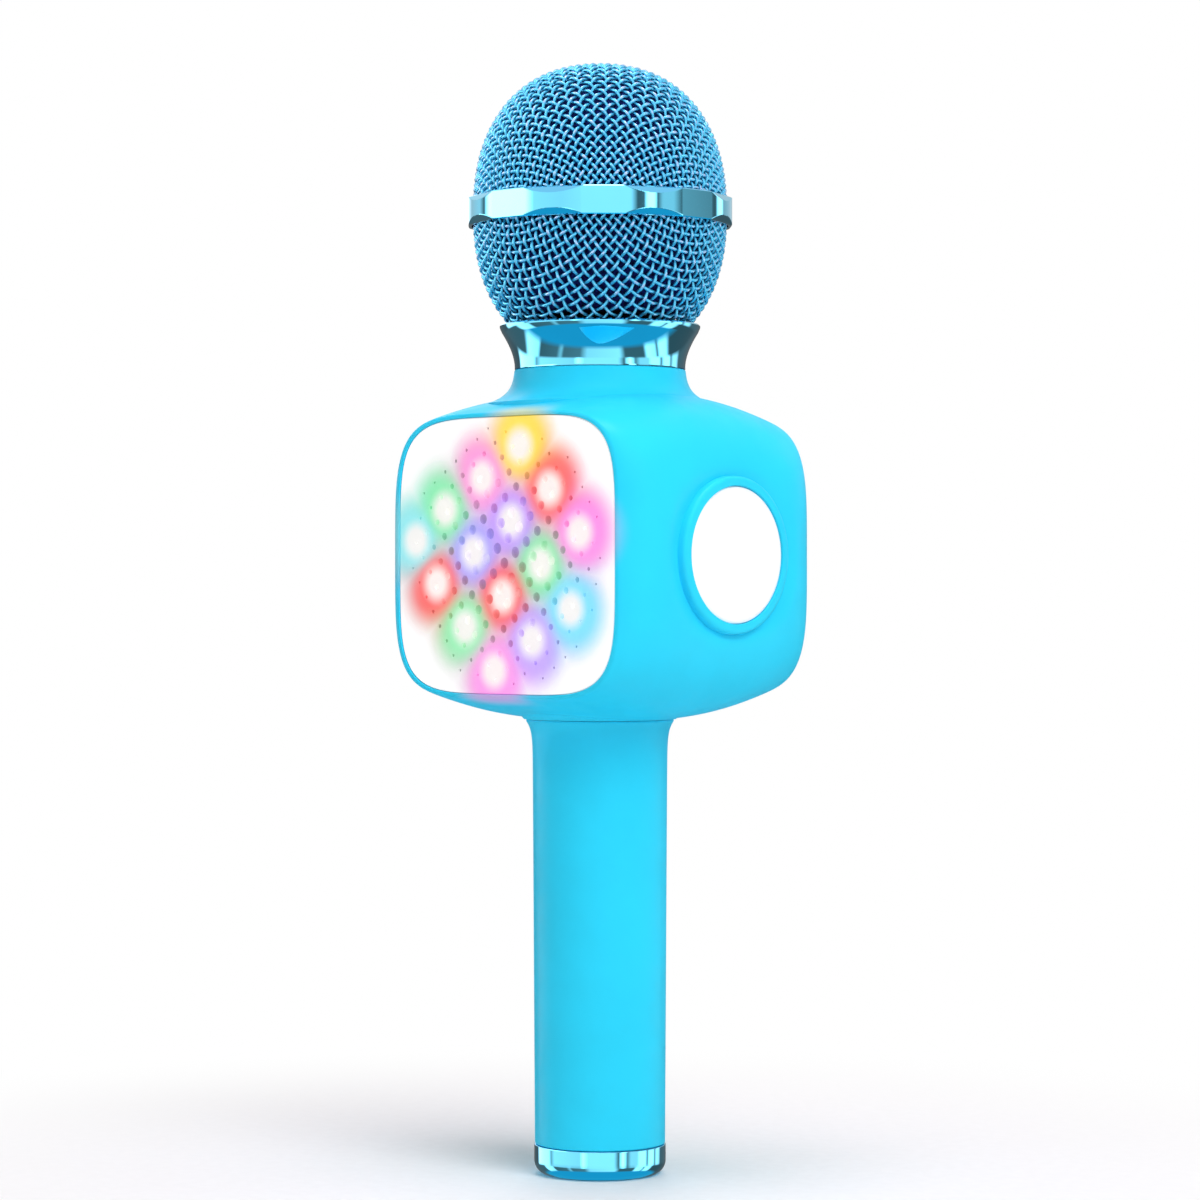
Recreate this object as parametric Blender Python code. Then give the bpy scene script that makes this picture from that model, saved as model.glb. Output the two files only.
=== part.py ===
"""Handheld toy karaoke microphone: woven head, cube housing with two light panels, and handle.

The model stands upright on its flat foot. The origin is the centre of the foot, +Z runs up the
handle to the head, the front light panel faces -Y and the round badge faces +X. The control keys
are on the -X side. Dimensions are written in millimetres, and new_object() makes them metres.
"""

import math

import bmesh
import bpy
from mathutils import Vector

MM = 0.001
SMOOTH_ANGLE = math.radians(35)
GAP = 0.3  # clearance between pieces that touch on the real object

# Foot and handle
FOOT_RADIUS = 12.9
FOOT_EDGE_HEIGHT = 2.2
RING_RADIUS = 14.75
RING_TOP = 6.5
RING_BORE = 11.8
END_CAP_RADIUS = 11.4
END_CAP_THICKNESS = 2.4
END_SCREW_PLACES = ((-7.6, 0.9), (8.6, -2.2))
CHARGE_PLACE = (0.0, -5.2)
CARD_PLACE = (-2.4, 7.0)
AUDIO_PLACE = (5.6, 3.4)
AUDIO_BORE = 1.85
SOCKET_TOP = 10.3
SOCKET_BOARD_RADIUS = 11.2
HANDLE_RADIUS_LOW = 14.6
HANDLE_RADIUS_HIGH = 15.1
HANDLE_BORE = 12.4
HANDLE_STRAIGHT_TOP = 92.0
HANDLE_TOP = 101.4
SPIGOT_RADIUS = 13.4
SPIGOT_TOP = 109.0
SOCKET_RADIUS = 17.3  # the round foot of the housing that the handle's flare meets

# Housing: superellipse sections stacked along Y between two flat frames
BODY_CENTRE = 138.1
BODY_HALF_WIDTH = 40.7
BODY_HALF_HEIGHT = 36.8
BODY_HALF_DEPTH = 30.6
FRAME_HALF_WIDTH = 34.0
FRAME_HALF_HEIGHT = 31.3
WIDTH_CURVE = 5.2  # exponent of the bulge in plan
HEIGHT_CURVE = 2.05  # exponent of the bulge seen from the side
MIDDLE_EXPONENT = 3.5  # corner shape of the section at y = 0
FRAME_EXPONENT = 4.8  # corner shape at the frames
WALL = 2.4
RIM = 0.8
PANEL_THICKNESS = 2.2
PANEL_RECESS = 0.1
SEAT_WIDTH = 1.8

# Neck, drawn as a radius that grows towards the shoulder
NECK_TOP = 179.9
NECK_RADIUS = 19.0
NECK_FLARE = 0.2
NECK_FLARE_LENGTH = 2.2
NECK_FOOT = 172.2
NECK_BORE = 16.5

# Round bosses on the two sides
BOSS_FACE = 41.3
BOSS_LIP_RADIUS = 17.2
DISC_RADIUS = 15.0
DISC_FACE = 41.1
DISC_SEAT = 38.0
MOAT_HEIGHT = 39.2  # x of the shallow cone round the boss, at BOSS_LIP_RADIUS
MOAT_SLOPE = 0.22

# Head: a superellipsoid of woven wire, split at the band
HEAD_CENTRE = 215.2
HEAD_RADIUS = 28.6
HEAD_HALF_HEIGHT = 33.3
HEAD_CURVE = 2.3
MESH_THICKNESS = 1.0
BOWL_BOTTOM = 188.2
BAND_RADIUS = 30.4
BAND_FACET_DISTANCE = 29.8
BAND_FACETS = 8
BAND_HALF_HEIGHT = 3.15
BAND_BORE = 28.9

# Panels: lights on a sheared lattice, sound holes on a turned square lattice
LED_START = (0.9, 6.7)
LED_STEP_I = (9.0, -9.6)
LED_STEP_J = (11.6, 6.8)
LED_REACH = 27.7  # the light at the panel's edge sits no further out than this
BOARD_INSET = 3.1
HOLE_PITCH = 9.6
HOLE_TURN = math.radians(34.5)
HOLE_FIELD_RADIUS = 25.0
HOLE_RADIUS = 1.25
SPEAKER_FACE = 24.8

# Keys on the -X side: name, y and z from the plate's centre, radius
KEY_OFFSET = 9.2
KEYS = (
    ("key_play", 0.0, 0.0, 4.2),
    ("key_volume_up", 0.0, KEY_OFFSET, 3.3),
    ("key_volume_down", 0.0, -KEY_OFFSET, 3.3),
    ("key_next", -KEY_OFFSET, 0.0, 3.3),
    ("key_previous", KEY_OFFSET, 0.0, 3.3),
)
KEY_PLATE_FACE = 40.6
KEY_PLATE_THICKNESS = 1.8
KEY_CLEARANCE = 0.25
KEY_FLANGE = 0.6


def clear_scene():
    for obj in list(bpy.data.objects):
        bpy.data.objects.remove(obj)


def material(name, colour, roughness, metallic=0.0):
    made = bpy.data.materials.new(name)
    made.use_nodes = True
    shader = made.node_tree.nodes["Principled BSDF"]
    shader.inputs["Base Color"].default_value = (*colour, 1.0)
    shader.inputs["Roughness"].default_value = roughness
    shader.inputs["Metallic"].default_value = metallic
    return made


def make_materials():
    return {
        "body": material("body_plastic", (0.02, 0.62, 0.90), 0.35),
        "grille": material("grille_wire", (0.10, 0.52, 0.72), 0.3, 0.9),
        "plated": material("plated_cyan", (0.25, 0.85, 0.90), 0.08, 1.0),
        "white": material("panel_white", (0.90, 0.90, 0.90), 0.3),
        "foam": material("foam_navy", (0.01, 0.02, 0.06), 0.95),
        "board": material("board_green", (0.02, 0.16, 0.07), 0.5),
        "dark": material("dark_plastic", (0.03, 0.03, 0.035), 0.45),
        "steel": material("steel", (0.60, 0.60, 0.62), 0.3, 1.0),
        "cone": material("speaker_cone", (0.05, 0.05, 0.055), 0.8),
        "cell": material("cell_wrap", (0.05, 0.20, 0.55), 0.4),
        "rubber": material("rubber", (0.03, 0.03, 0.03), 0.8),
        "brass": material("contact_brass", (0.80, 0.60, 0.25), 0.3, 1.0),
    }


def new_object(name, bm, look, origin=(0.0, 0.0, 0.0), helper=False):
    """An object in metres from a bmesh drawn in millimetres, with its origin where stated."""
    bmesh.ops.recalc_face_normals(bm, faces=bm.faces)
    bmesh.ops.translate(bm, vec=-Vector(origin), verts=bm.verts)
    bmesh.ops.scale(bm, vec=(MM, MM, MM), verts=bm.verts)
    mesh = bpy.data.meshes.new(name)
    bm.to_mesh(mesh)
    bm.free()
    mesh.materials.append(look)
    mesh.shade_smooth()
    mesh.set_sharp_from_angle(angle=SMOOTH_ANGLE)
    obj = bpy.data.objects.new(name, mesh)
    obj.location = Vector(origin) * MM
    bpy.context.scene.collection.objects.link(obj)
    if helper:
        obj.hide_render = True
        obj.display_type = "WIRE"
    return obj


def skin(rings, closed=False, bm=None):
    """Faces over rings of points. A ring of one point is a pole, and open ends are capped."""
    bm = bm or bmesh.new()
    loops = [[bm.verts.new(point) for point in ring] for ring in rings]
    pairs = list(zip(loops, loops[1:]))
    if closed:
        pairs.append((loops[-1], loops[0]))
    for lower, upper in pairs:
        count = max(len(lower), len(upper))
        for i in range(count):
            j = (i + 1) % count
            corners = [
                lower[i % len(lower)],
                lower[j % len(lower)],
                upper[j % len(upper)],
                upper[i % len(upper)],
            ]
            bm.faces.new(list(dict.fromkeys(corners)))
    if not closed:
        for end in (loops[0], loops[-1]):
            if len(end) > 2:
                bm.faces.new(end)
    return bm


def around(axis, first=0.0, second=0.0):
    """Places (radius, angle, height) about a line parallel to an axis.

    first and second are where the line crosses the other two coordinates, in X, Y, Z order.
    """

    def place(radius, angle, height):
        point = [first + radius * math.cos(angle), second + radius * math.sin(angle)]
        point.insert("XYZ".index(axis), height)
        return point

    return place


UPRIGHT = around("Z")
SIDEWAYS = around("X", 0.0, BODY_CENTRE)


def turned(profile, segments, place=UPRIGHT, closed=False, bm=None):
    """Turns (radius, height) points about a line. Radius 0 makes a pole."""
    rings = []
    turn = math.tau / segments
    for radius, height in profile:
        count = segments if radius else 1
        rings.append([place(radius, turn * (i + 0.5), height) for i in range(count)])
    return skin(rings, closed, bm)


def drum(radius, low, high):
    """The profile of a plain solid cylinder."""
    return [(0, low), (radius, low), (radius, high), (0, high)]


def block(bm, centre, size):
    """Adds a box to a bmesh."""
    made = bmesh.ops.create_cube(bm, size=1.0)["verts"]
    bmesh.ops.scale(bm, vec=size, verts=made)
    bmesh.ops.translate(bm, vec=centre, verts=made)


def boolean(obj, other, operation):
    other.hide_render = True
    other.display_type = "WIRE"
    modifier = obj.modifiers.new(other.name, "BOOLEAN")
    modifier.operation = operation
    modifier.object = other
    modifier.solver = "EXACT"


def cut(obj, cutter):
    boolean(obj, cutter, "DIFFERENCE")


def join(obj, addition):
    boolean(obj, addition, "UNION")


def bulge(y, middle, frame, exponent):
    """Half size of the housing at depth y, between its middle and its frames."""
    reach = BODY_HALF_DEPTH / (1 - (frame / middle) ** exponent) ** (1 / exponent)
    return middle * (1 - (abs(y) / reach) ** exponent) ** (1 / exponent)


def superellipse(half_width, half_height, exponent, y, count):
    """A ring of points round the housing's long axis Y, densest at the corners."""
    ring = []
    for i in range(count):
        angle = math.tau * i / count
        across, up = math.cos(angle), math.sin(angle)
        x = math.copysign(abs(across) ** (2 / exponent), across) * half_width
        z = math.copysign(abs(up) ** (2 / exponent), up) * half_height
        ring.append((x, y, BODY_CENTRE + z))
    return ring


def body_section(y, inset, count):
    """The housing's section at depth y, drawn inset from the outer surface."""
    half_width = bulge(y, BODY_HALF_WIDTH, FRAME_HALF_WIDTH, WIDTH_CURVE) - inset
    half_height = bulge(y, BODY_HALF_HEIGHT, FRAME_HALF_HEIGHT, HEIGHT_CURVE) - inset
    share = (abs(y) / BODY_HALF_DEPTH) ** 8
    exponent = MIDDLE_EXPONENT + (FRAME_EXPONENT - MIDDLE_EXPONENT) * share
    return superellipse(half_width, half_height, exponent, y, count)


def frame_section(y, inset, count):
    """The frames' outline, drawn inset, at any depth."""
    half_width = FRAME_HALF_WIDTH - inset
    half_height = FRAME_HALF_HEIGHT - inset
    return superellipse(half_width, half_height, FRAME_EXPONENT, y, count)


def head_radius(height, inset=0.0):
    """Radius of the woven head at a height, drawn inset from its outer surface."""
    share = min(abs(height - HEAD_CENTRE) / (HEAD_HALF_HEIGHT - inset), 1.0)
    return (HEAD_RADIUS - inset) * (1 - share**HEAD_CURVE) ** (1 / HEAD_CURVE)


def neck_radius(height):
    return NECK_RADIUS + NECK_FLARE * math.exp((NECK_TOP - height) / NECK_FLARE_LENGTH)


def handle_radius(height):
    share = (height - RING_TOP) / (HANDLE_STRAIGHT_TOP - RING_TOP)
    straight = HANDLE_RADIUS_LOW + (HANDLE_RADIUS_HIGH - HANDLE_RADIUS_LOW) * min(share, 1.0)
    return straight + 0.04 * math.exp((height - 94.0) / 2.0)


def steps(start, end, count):
    return [start + (end - start) * i / count for i in range(count + 1)]


def make_grilles(looks):
    """The two woven halves, as the smooth shells that hold their wires."""
    seat = 0.7
    turns = [math.radians(angle) for angle in (0, 14, 28, 42, 56, 72)]
    heights = [HEAD_CENTRE + HEAD_HALF_HEIGHT * math.cos(turn) for turn in turns[1:]]
    heights.append(HEAD_CENTRE + seat)
    outer = [(head_radius(z), z) for z in heights]
    drop = (HEAD_HALF_HEIGHT - MESH_THICKNESS) / HEAD_HALF_HEIGHT
    inner = []
    for z in heights[:-1]:
        z = HEAD_CENTRE + (z - HEAD_CENTRE) * drop
        inner.append((head_radius(z, MESH_THICKNESS), z))
    inner.append((head_radius(heights[-1], MESH_THICKNESS), heights[-1]))
    top = HEAD_CENTRE + HEAD_HALF_HEIGHT
    profile = [(0, top), *outer, *reversed(inner), (0, top - MESH_THICKNESS)]
    new_object("upper_grille", turned(profile, 28), looks["grille"])

    heights = steps(HEAD_CENTRE - seat, BOWL_BOTTOM, 6)
    outer = [(head_radius(z), z) for z in heights]
    inner = [(head_radius(z, MESH_THICKNESS), z) for z in reversed(heights)]
    new_object("lower_grille", turned(outer + inner, 28, closed=True), looks["grille"])


def make_band(looks):
    """The plated ring between the grilles: eight flats outside, and a web inside."""
    web = 0.35
    facet = math.acos(BAND_FACET_DISTANCE / BAND_RADIUS)
    half = math.pi / BAND_FACETS
    turns = []
    for i in range(BAND_FACETS):
        middle = math.tau * i / BAND_FACETS
        for away in (-facet, 0.0, facet, half - 0.07, half + 0.07):
            flat = BAND_FACET_DISTANCE / math.cos(away) if abs(away) <= facet else BAND_RADIUS
            turns.append((middle + away, flat))
    profile = (
        (BAND_RADIUS - 0.5, -BAND_HALF_HEIGHT),
        (BAND_RADIUS, -BAND_HALF_HEIGHT + 0.6),
        (BAND_RADIUS, BAND_HALF_HEIGHT - 0.6),
        (BAND_RADIUS - 0.5, BAND_HALF_HEIGHT),
        (BAND_BORE, BAND_HALF_HEIGHT),
        (BAND_BORE, web),
        (BAND_BORE - 1.6, web),
        (BAND_BORE - 1.6, -web),
        (BAND_BORE, -web),
        (BAND_BORE, -BAND_HALF_HEIGHT),
    )
    rings = []
    for radius, height in profile:
        ring = [UPRIGHT(min(radius, flat), turn, HEAD_CENTRE + height) for turn, flat in turns]
        rings.append(ring)
    new_object("grille_band", skin(rings, closed=True), looks["plated"])


def make_head_inside(looks):
    """Foam filter, thread ring, microphone capsule and the cup that holds it."""
    foam_gap = 2.6
    foam_bottom = 192.0
    pocket_radius, pocket_top = 11.0, 213.0
    heights = steps(HEAD_CENTRE + HEAD_HALF_HEIGHT - foam_gap, foam_bottom, 7)
    outer = [(head_radius(z, foam_gap), z) for z in heights[1:]]
    pocket = [(pocket_radius, foam_bottom), (pocket_radius, pocket_top), (0, pocket_top)]
    new_object("foam_filter", turned([(0, heights[0]), *outer, *pocket], 20), looks["foam"])

    ring = [(15.2, 184.0), (18.2, 184.0), (18.2, 187.9), (15.2, 187.9)]
    new_object("thread_ring", turned(ring, 24, closed=True), looks["steel"])

    cup = [
        (0, 182.3),
        (13.5, 182.3),
        (13.5, 183.6),
        (4.0, 184.5),
        (4.0, 196.0),
        (9.5, 198.0),
        (9.5, 208.0),
        (7.3, 208.0),
        (7.3, 202.6),
        (0, 202.6),
    ]
    new_object("capsule_mount", turned(cup, 20), looks["rubber"])
    capsule = [(0, 202.9), (7.0, 202.9), (7.0, 208.6), (6.4, 209.2), (0, 209.2)]
    new_object("mic_capsule", turned(capsule, 20), looks["steel"])


def make_collar(looks):
    """The plated flare under the head, with a spigot that plugs into the housing's neck."""
    spigot = NECK_BORE - GAP
    profile = [
        (19.15, NECK_TOP + GAP),
        (19.2, 181.2),
        (19.45, 182.5),
        (20.0, 184.4),
        (20.9, 186.1),
        (22.0, 188.0),
        (22.5, 189.4),
        (22.1, 190.0),
        (21.2, 190.0),
        (20.9, 188.6),
        (19.3, 185.8),
        (18.7, 182.0),
        (14.6, 182.0),
        (14.6, 173.0),
        (spigot, 173.0),
        (spigot, NECK_TOP + GAP),
    ]
    new_object("neck_collar", turned(profile, 30, closed=True), looks["plated"])


def housing_tube(looks):
    """The housing's own shell: a tube along Y with a seat for a panel at each end."""
    count = 36
    depths = [BODY_HALF_DEPTH * share for share in (1, 0.94, 0.8, 0.5, 0)]
    depths = depths[:-1] + [-depth for depth in reversed(depths)]
    rings = [body_section(y, 0.0, count) for y in depths]
    seat = BODY_HALF_DEPTH - PANEL_RECESS - PANEL_THICKNESS - GAP
    seat_back = seat - 1.4
    cavity = [seat_back * share for share in (1, 0.65, 0)]
    cavity = cavity[:-1] + [-depth for depth in reversed(cavity)]
    ledge = RIM + SEAT_WIDTH
    rings.append(frame_section(-BODY_HALF_DEPTH, RIM, count))
    rings.append(frame_section(-seat, RIM, count))
    rings.append(frame_section(-seat, ledge, count))
    rings.append(frame_section(-seat_back, ledge, count))
    rings += [body_section(y, WALL, count) for y in reversed(cavity)]
    rings.append(frame_section(seat_back, ledge, count))
    rings.append(frame_section(seat, ledge, count))
    rings.append(frame_section(seat, RIM, count))
    rings.append(frame_section(BODY_HALF_DEPTH, RIM, count))
    return new_object("body_housing", skin(rings, closed=True), looks["body"])


def make_housing(looks):
    """The shell with its openings cut, then the neck, handle socket and bosses as rings."""
    housing = housing_tube(looks)
    overlap = 1.2  # how far each ring reaches past its opening into the wall

    def opening(name, radius, low, high, place):
        shape = turned(drum(radius, low, high), 26, place)
        cut(housing, new_object(name, shape, looks["body"], helper=True))

    def ring(name, profile, place):
        shape = turned(profile, 28, place, closed=True)
        join(housing, new_object(name, shape, looks["body"], helper=True))

    moat_end = 26.0
    moat = [
        (0, MOAT_HEIGHT),
        (BOSS_LIP_RADIUS, MOAT_HEIGHT),
        (moat_end, MOAT_HEIGHT + MOAT_SLOPE * (moat_end - BOSS_LIP_RADIUS)),
        (moat_end, 45.0),
        (0, 45.0),
    ]
    boss = [
        (BOSS_LIP_RADIUS, 35.5),
        (BOSS_LIP_RADIUS, 39.8),
        (BOSS_LIP_RADIUS - 0.4, 40.8),
        (BOSS_LIP_RADIUS - 1.1, BOSS_FACE),
        (DISC_RADIUS + GAP, BOSS_FACE),
        (DISC_RADIUS + GAP, DISC_SEAT),
        (DISC_RADIUS - 1.2, DISC_SEAT),
        (DISC_RADIUS - 1.2, 35.5),
    ]
    for side, word in ((1, "right"), (-1, "left")):
        shape = turned([(r, side * x) for r, x in moat], 28, SIDEWAYS)
        cut(housing, new_object(f"{word}_moat", shape, looks["body"], helper=True))
        opening(f"{word}_opening", BOSS_LIP_RADIUS - overlap, side * 30.0, side * 45.0, SIDEWAYS)
    opening("neck_opening", NECK_RADIUS - overlap, 165.0, 185.0, UPRIGHT)
    opening("socket_opening", SOCKET_RADIUS - overlap, 95.0, 112.0, UPRIGHT)

    for side, word in ((1, "right"), (-1, "left")):
        ring(f"{word}_boss", [(r, side * x) for r, x in boss], SIDEWAYS)
    neck = [(neck_radius(z), z) for z in steps(NECK_TOP, NECK_FOOT, 5)]
    neck += [(neck[-1][0], 170.4), (NECK_BORE, 170.4), (NECK_BORE, NECK_TOP)]
    ring("neck_shape", neck, UPRIGHT)
    socket = [
        (SOCKET_RADIUS, HANDLE_TOP + GAP),
        (SOCKET_RADIUS + 1.3, 103.6),
        (SOCKET_RADIUS + 1.3, 106.0),
        (SPIGOT_RADIUS + GAP, 106.0),
        (SPIGOT_RADIUS + GAP, HANDLE_TOP + GAP),
    ]
    ring("socket_shape", socket, UPRIGHT)


def led_places():
    """(x, z) of the fifteen lights, from the panel's centre."""
    places = []
    for i in range(-1, 3):
        for j in range(-2, 2):
            if (i, j) != (2, 1):
                x = LED_START[0] + i * LED_STEP_I[0] + j * LED_STEP_J[0]
                z = LED_START[1] + i * LED_STEP_I[1] + j * LED_STEP_J[1]
                places.append((max(x, -LED_REACH), z))
    return places


def hole_places():
    """(x, z) of the panel's sound holes, from the panel's centre."""
    places = []
    reach = 4
    for i in range(-reach, reach + 1):
        for j in range(-reach, reach + 1):
            x = HOLE_PITCH * (i * math.cos(HOLE_TURN) - j * math.sin(HOLE_TURN))
            z = HOLE_PITCH * (i * math.sin(HOLE_TURN) + j * math.cos(HOLE_TURN))
            if math.hypot(x, z) < HOLE_FIELD_RADIUS:
                places.append((x, z))
    return places


def make_panel(side, word, looks):
    """A white panel with its sound holes. side is -1 at the front and 1 at the rear."""
    inset = RIM + GAP
    face = side * (BODY_HALF_DEPTH - PANEL_RECESS)
    back = face - side * PANEL_THICKNESS
    edge = face - side * 0.4
    rings = [
        frame_section(face, inset + 0.4, 36),
        frame_section(edge, inset, 36),
        frame_section(back, inset, 36),
    ]
    panel = new_object(f"{word}_panel", skin(rings), looks["white"])
    drills = bmesh.new()
    for x, z in hole_places():
        drill = drum(HOLE_RADIUS, face + side, back - side)
        turned(drill, 6, around("Y", -side * x, BODY_CENTRE + z), bm=drills)
    cut(panel, new_object(f"{word}_drills", drills, looks["white"], helper=True))


def make_light_board(side, word, looks):
    """A board the shape of the panel, with fifteen lights and nine openings for the sound."""
    board_face = side * 27.0
    board_back = side * 25.8
    rings = [frame_section(y, BOARD_INSET, 28) for y in (board_face, board_back)]
    board = new_object(f"{word}_light_board", skin(rings), looks["board"])
    lights = bmesh.new()
    for x, z in led_places():
        place = (-side * x, side * 27.0, BODY_CENTRE + z)
        block(lights, place, (3.4, 1.4, 2.8))
    join(board, new_object(f"{word}_lights", lights, looks["white"], helper=True))
    drills = bmesh.new()
    for i in (-0.5, 0.5, 1.5):
        for j in (-1.5, -0.5, 0.5):
            x = LED_START[0] + i * LED_STEP_I[0] + j * LED_STEP_J[0]
            z = LED_START[1] + i * LED_STEP_I[1] + j * LED_STEP_J[1]
            drill = drum(2.8, side * 29.0, side * 24.0)
            turned(drill, 6, around("Y", -side * x, BODY_CENTRE + z), bm=drills)
    cut(board, new_object(f"{word}_board_drills", drills, looks["board"], helper=True))


def make_speaker(side, word, looks):
    """A 40 mm loudspeaker: basket, cone and magnet, with four screws through its flange."""

    def inward(profile):
        return [(r, side * (SPEAKER_FACE - h)) for r, h in profile]

    middle = around("Y", 0.0, BODY_CENTRE)
    basket = [
        (20.0, 0.0),
        (20.0, 1.2),
        (16.6, 1.2),
        (10.6, 8.0),
        (10.6, 9.6),
        (9.2, 9.6),
        (9.2, 7.6),
        (15.8, 0.0),
    ]
    shape = turned(inward(basket), 22, middle, closed=True)
    frame = new_object(f"{word}_speaker_frame", shape, looks["dark"])
    cone = [(0, 2.2), (3.0, 2.6), (5.0, 3.8), (15.0, -0.4), (15.0, 0.2), (8.6, 7.2), (0, 7.2)]
    new_object(f"{word}_speaker_cone", turned(inward(cone), 18, middle), looks["cone"])
    shape = turned(inward(drum(11.5, 9.9, 15.9)), 20, middle)
    new_object(f"{word}_speaker_magnet", shape, looks["steel"])

    screw_circle = 18.2
    screw = [(0, -0.9), (1.5, -0.9), (1.5, -GAP), (0.8, -GAP), (0.8, 4.0), (0, 4.0)]
    holes = bmesh.new()
    for number in range(4):
        angle = math.radians(45 + 90 * number)
        x = screw_circle * math.cos(angle)
        z = BODY_CENTRE + screw_circle * math.sin(angle)
        place = around("Y", x, z)
        turned(inward(drum(1.1, -1.0, 3.0)), 6, place, bm=holes)
        shape = turned(inward(screw), 8, place)
        new_object(f"{word}_speaker_screw_{number + 1}", shape, looks["steel"])
    cut(frame, new_object(f"{word}_screw_holes", holes, looks["dark"], helper=True))


def make_main_board(looks):
    """The amplifier and radio board across the middle of the housing."""
    shape = bmesh.new()
    block(shape, (0, 0, BODY_CENTRE), (46.0, 1.6, 50.0))
    board = new_object("main_board", shape, looks["board"])
    chips = bmesh.new()
    block(chips, (-12.0, -1.2, BODY_CENTRE + 8.0), (9.0, 2.0, 9.0))
    block(chips, (10.0, -1.2, BODY_CENTRE - 6.0), (6.0, 2.0, 8.0))
    block(chips, (12.0, -1.4, BODY_CENTRE + 16.0), (8.0, 2.6, 6.0))
    block(chips, (-14.0, 1.4, BODY_CENTRE - 14.0), (7.0, 2.4, 7.0))
    join(board, new_object("board_chips", chips, looks["dark"], helper=True))


def make_badge(looks):
    """The plain white disc in the right boss."""
    profile = [
        (0, DISC_FACE - 2.6),
        (DISC_RADIUS, DISC_FACE - 2.6),
        (DISC_RADIUS, DISC_FACE - 0.4),
        (DISC_RADIUS - 0.4, DISC_FACE),
        (0, DISC_FACE),
    ]
    new_object("side_badge", turned(profile, 32, SIDEWAYS), looks["white"])


def make_controls(looks):
    """Plate, five sprung keys and the switch board behind them, on the left side."""
    face = -KEY_PLATE_FACE
    back = face + KEY_PLATE_THICKNESS
    profile = [
        (0, back),
        (DISC_RADIUS, back),
        (DISC_RADIUS, face + 0.4),
        (DISC_RADIUS - 0.4, face),
        (0, face),
    ]
    plate = new_object("control_plate", turned(profile, 32, SIDEWAYS), looks["white"])
    holes = bmesh.new()
    for name, y, z, radius in KEYS:
        place = around("X", y, BODY_CENTRE + z)
        turned(drum(radius + KEY_CLEARANCE, face - 2, back + 2), 16, place, bm=holes)
        # The flange behind the plate keeps the key in.
        flange = back + GAP
        profile = [
            (0, -BOSS_FACE),
            (radius - 0.5, -BOSS_FACE),
            (radius, -BOSS_FACE + 0.5),
            (radius, flange),
            (radius + KEY_FLANGE, flange),
            (radius + KEY_FLANGE, flange + 0.7),
            (0, flange + 0.7),
        ]
        origin = (-BOSS_FACE, y, BODY_CENTRE + z)
        new_object(name, turned(profile, 16, place), looks["white"], origin=origin)
    cut(plate, new_object("key_holes", holes, looks["white"], helper=True))

    board_face = -35.6
    shape = turned(drum(12.6, board_face, board_face + 1.2), 24, SIDEWAYS)
    board = new_object("key_board", shape, looks["board"])
    switches = bmesh.new()
    for _, y, z, _ in KEYS:
        block(switches, (board_face - 0.35, y, BODY_CENTRE + z), (1.9, 3.0, 3.0))
    join(board, new_object("key_switches", switches, looks["dark"], helper=True))


def make_handle(looks):
    """The grip tube with its flared top, and a spigot that plugs into the housing."""
    low = RING_TOP + GAP
    straight = [(handle_radius(z), z) for z in (low + 0.4, HANDLE_STRAIGHT_TOP)]
    flare = [(handle_radius(z), z) for z in (97.0, 99.4, 100.6, HANDLE_TOP)]
    profile = [
        (HANDLE_BORE, low),
        (handle_radius(low) - 0.3, low),
        *straight,
        *flare,
        (SPIGOT_RADIUS, HANDLE_TOP),
        (SPIGOT_RADIUS, SPIGOT_TOP),
        (SPIGOT_RADIUS - 2.0, SPIGOT_TOP),
        (SPIGOT_RADIUS - 2.0, HANDLE_TOP),
        (HANDLE_BORE, HANDLE_TOP - 4.0),
    ]
    new_object("handle_tube", turned(profile, 30, closed=True), looks["body"])


def make_battery(looks):
    """A round lithium cell of the 18 by 65 mm size in its sleeve, with two contacts."""
    cell = [(0, 24.0), (9.2, 24.0), (9.2, 88.2), (4.0, 88.2), (4.0, 89.0), (0, 89.0)]
    new_object("battery_cell", turned(cell, 24), looks["cell"])
    sleeve = [(9.5, 21.0), (11.6, 21.0), (11.6, 91.0), (9.5, 91.0)]
    new_object("battery_sleeve", turned(sleeve, 24, closed=True), looks["dark"])
    for name, low, high in (("battery_contact_low", 22.6, 23.7), ("battery_contact_high", 89.3, 90.3)):
        new_object(name, turned(drum(7.5, low, high), 16), looks["brass"])


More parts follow.
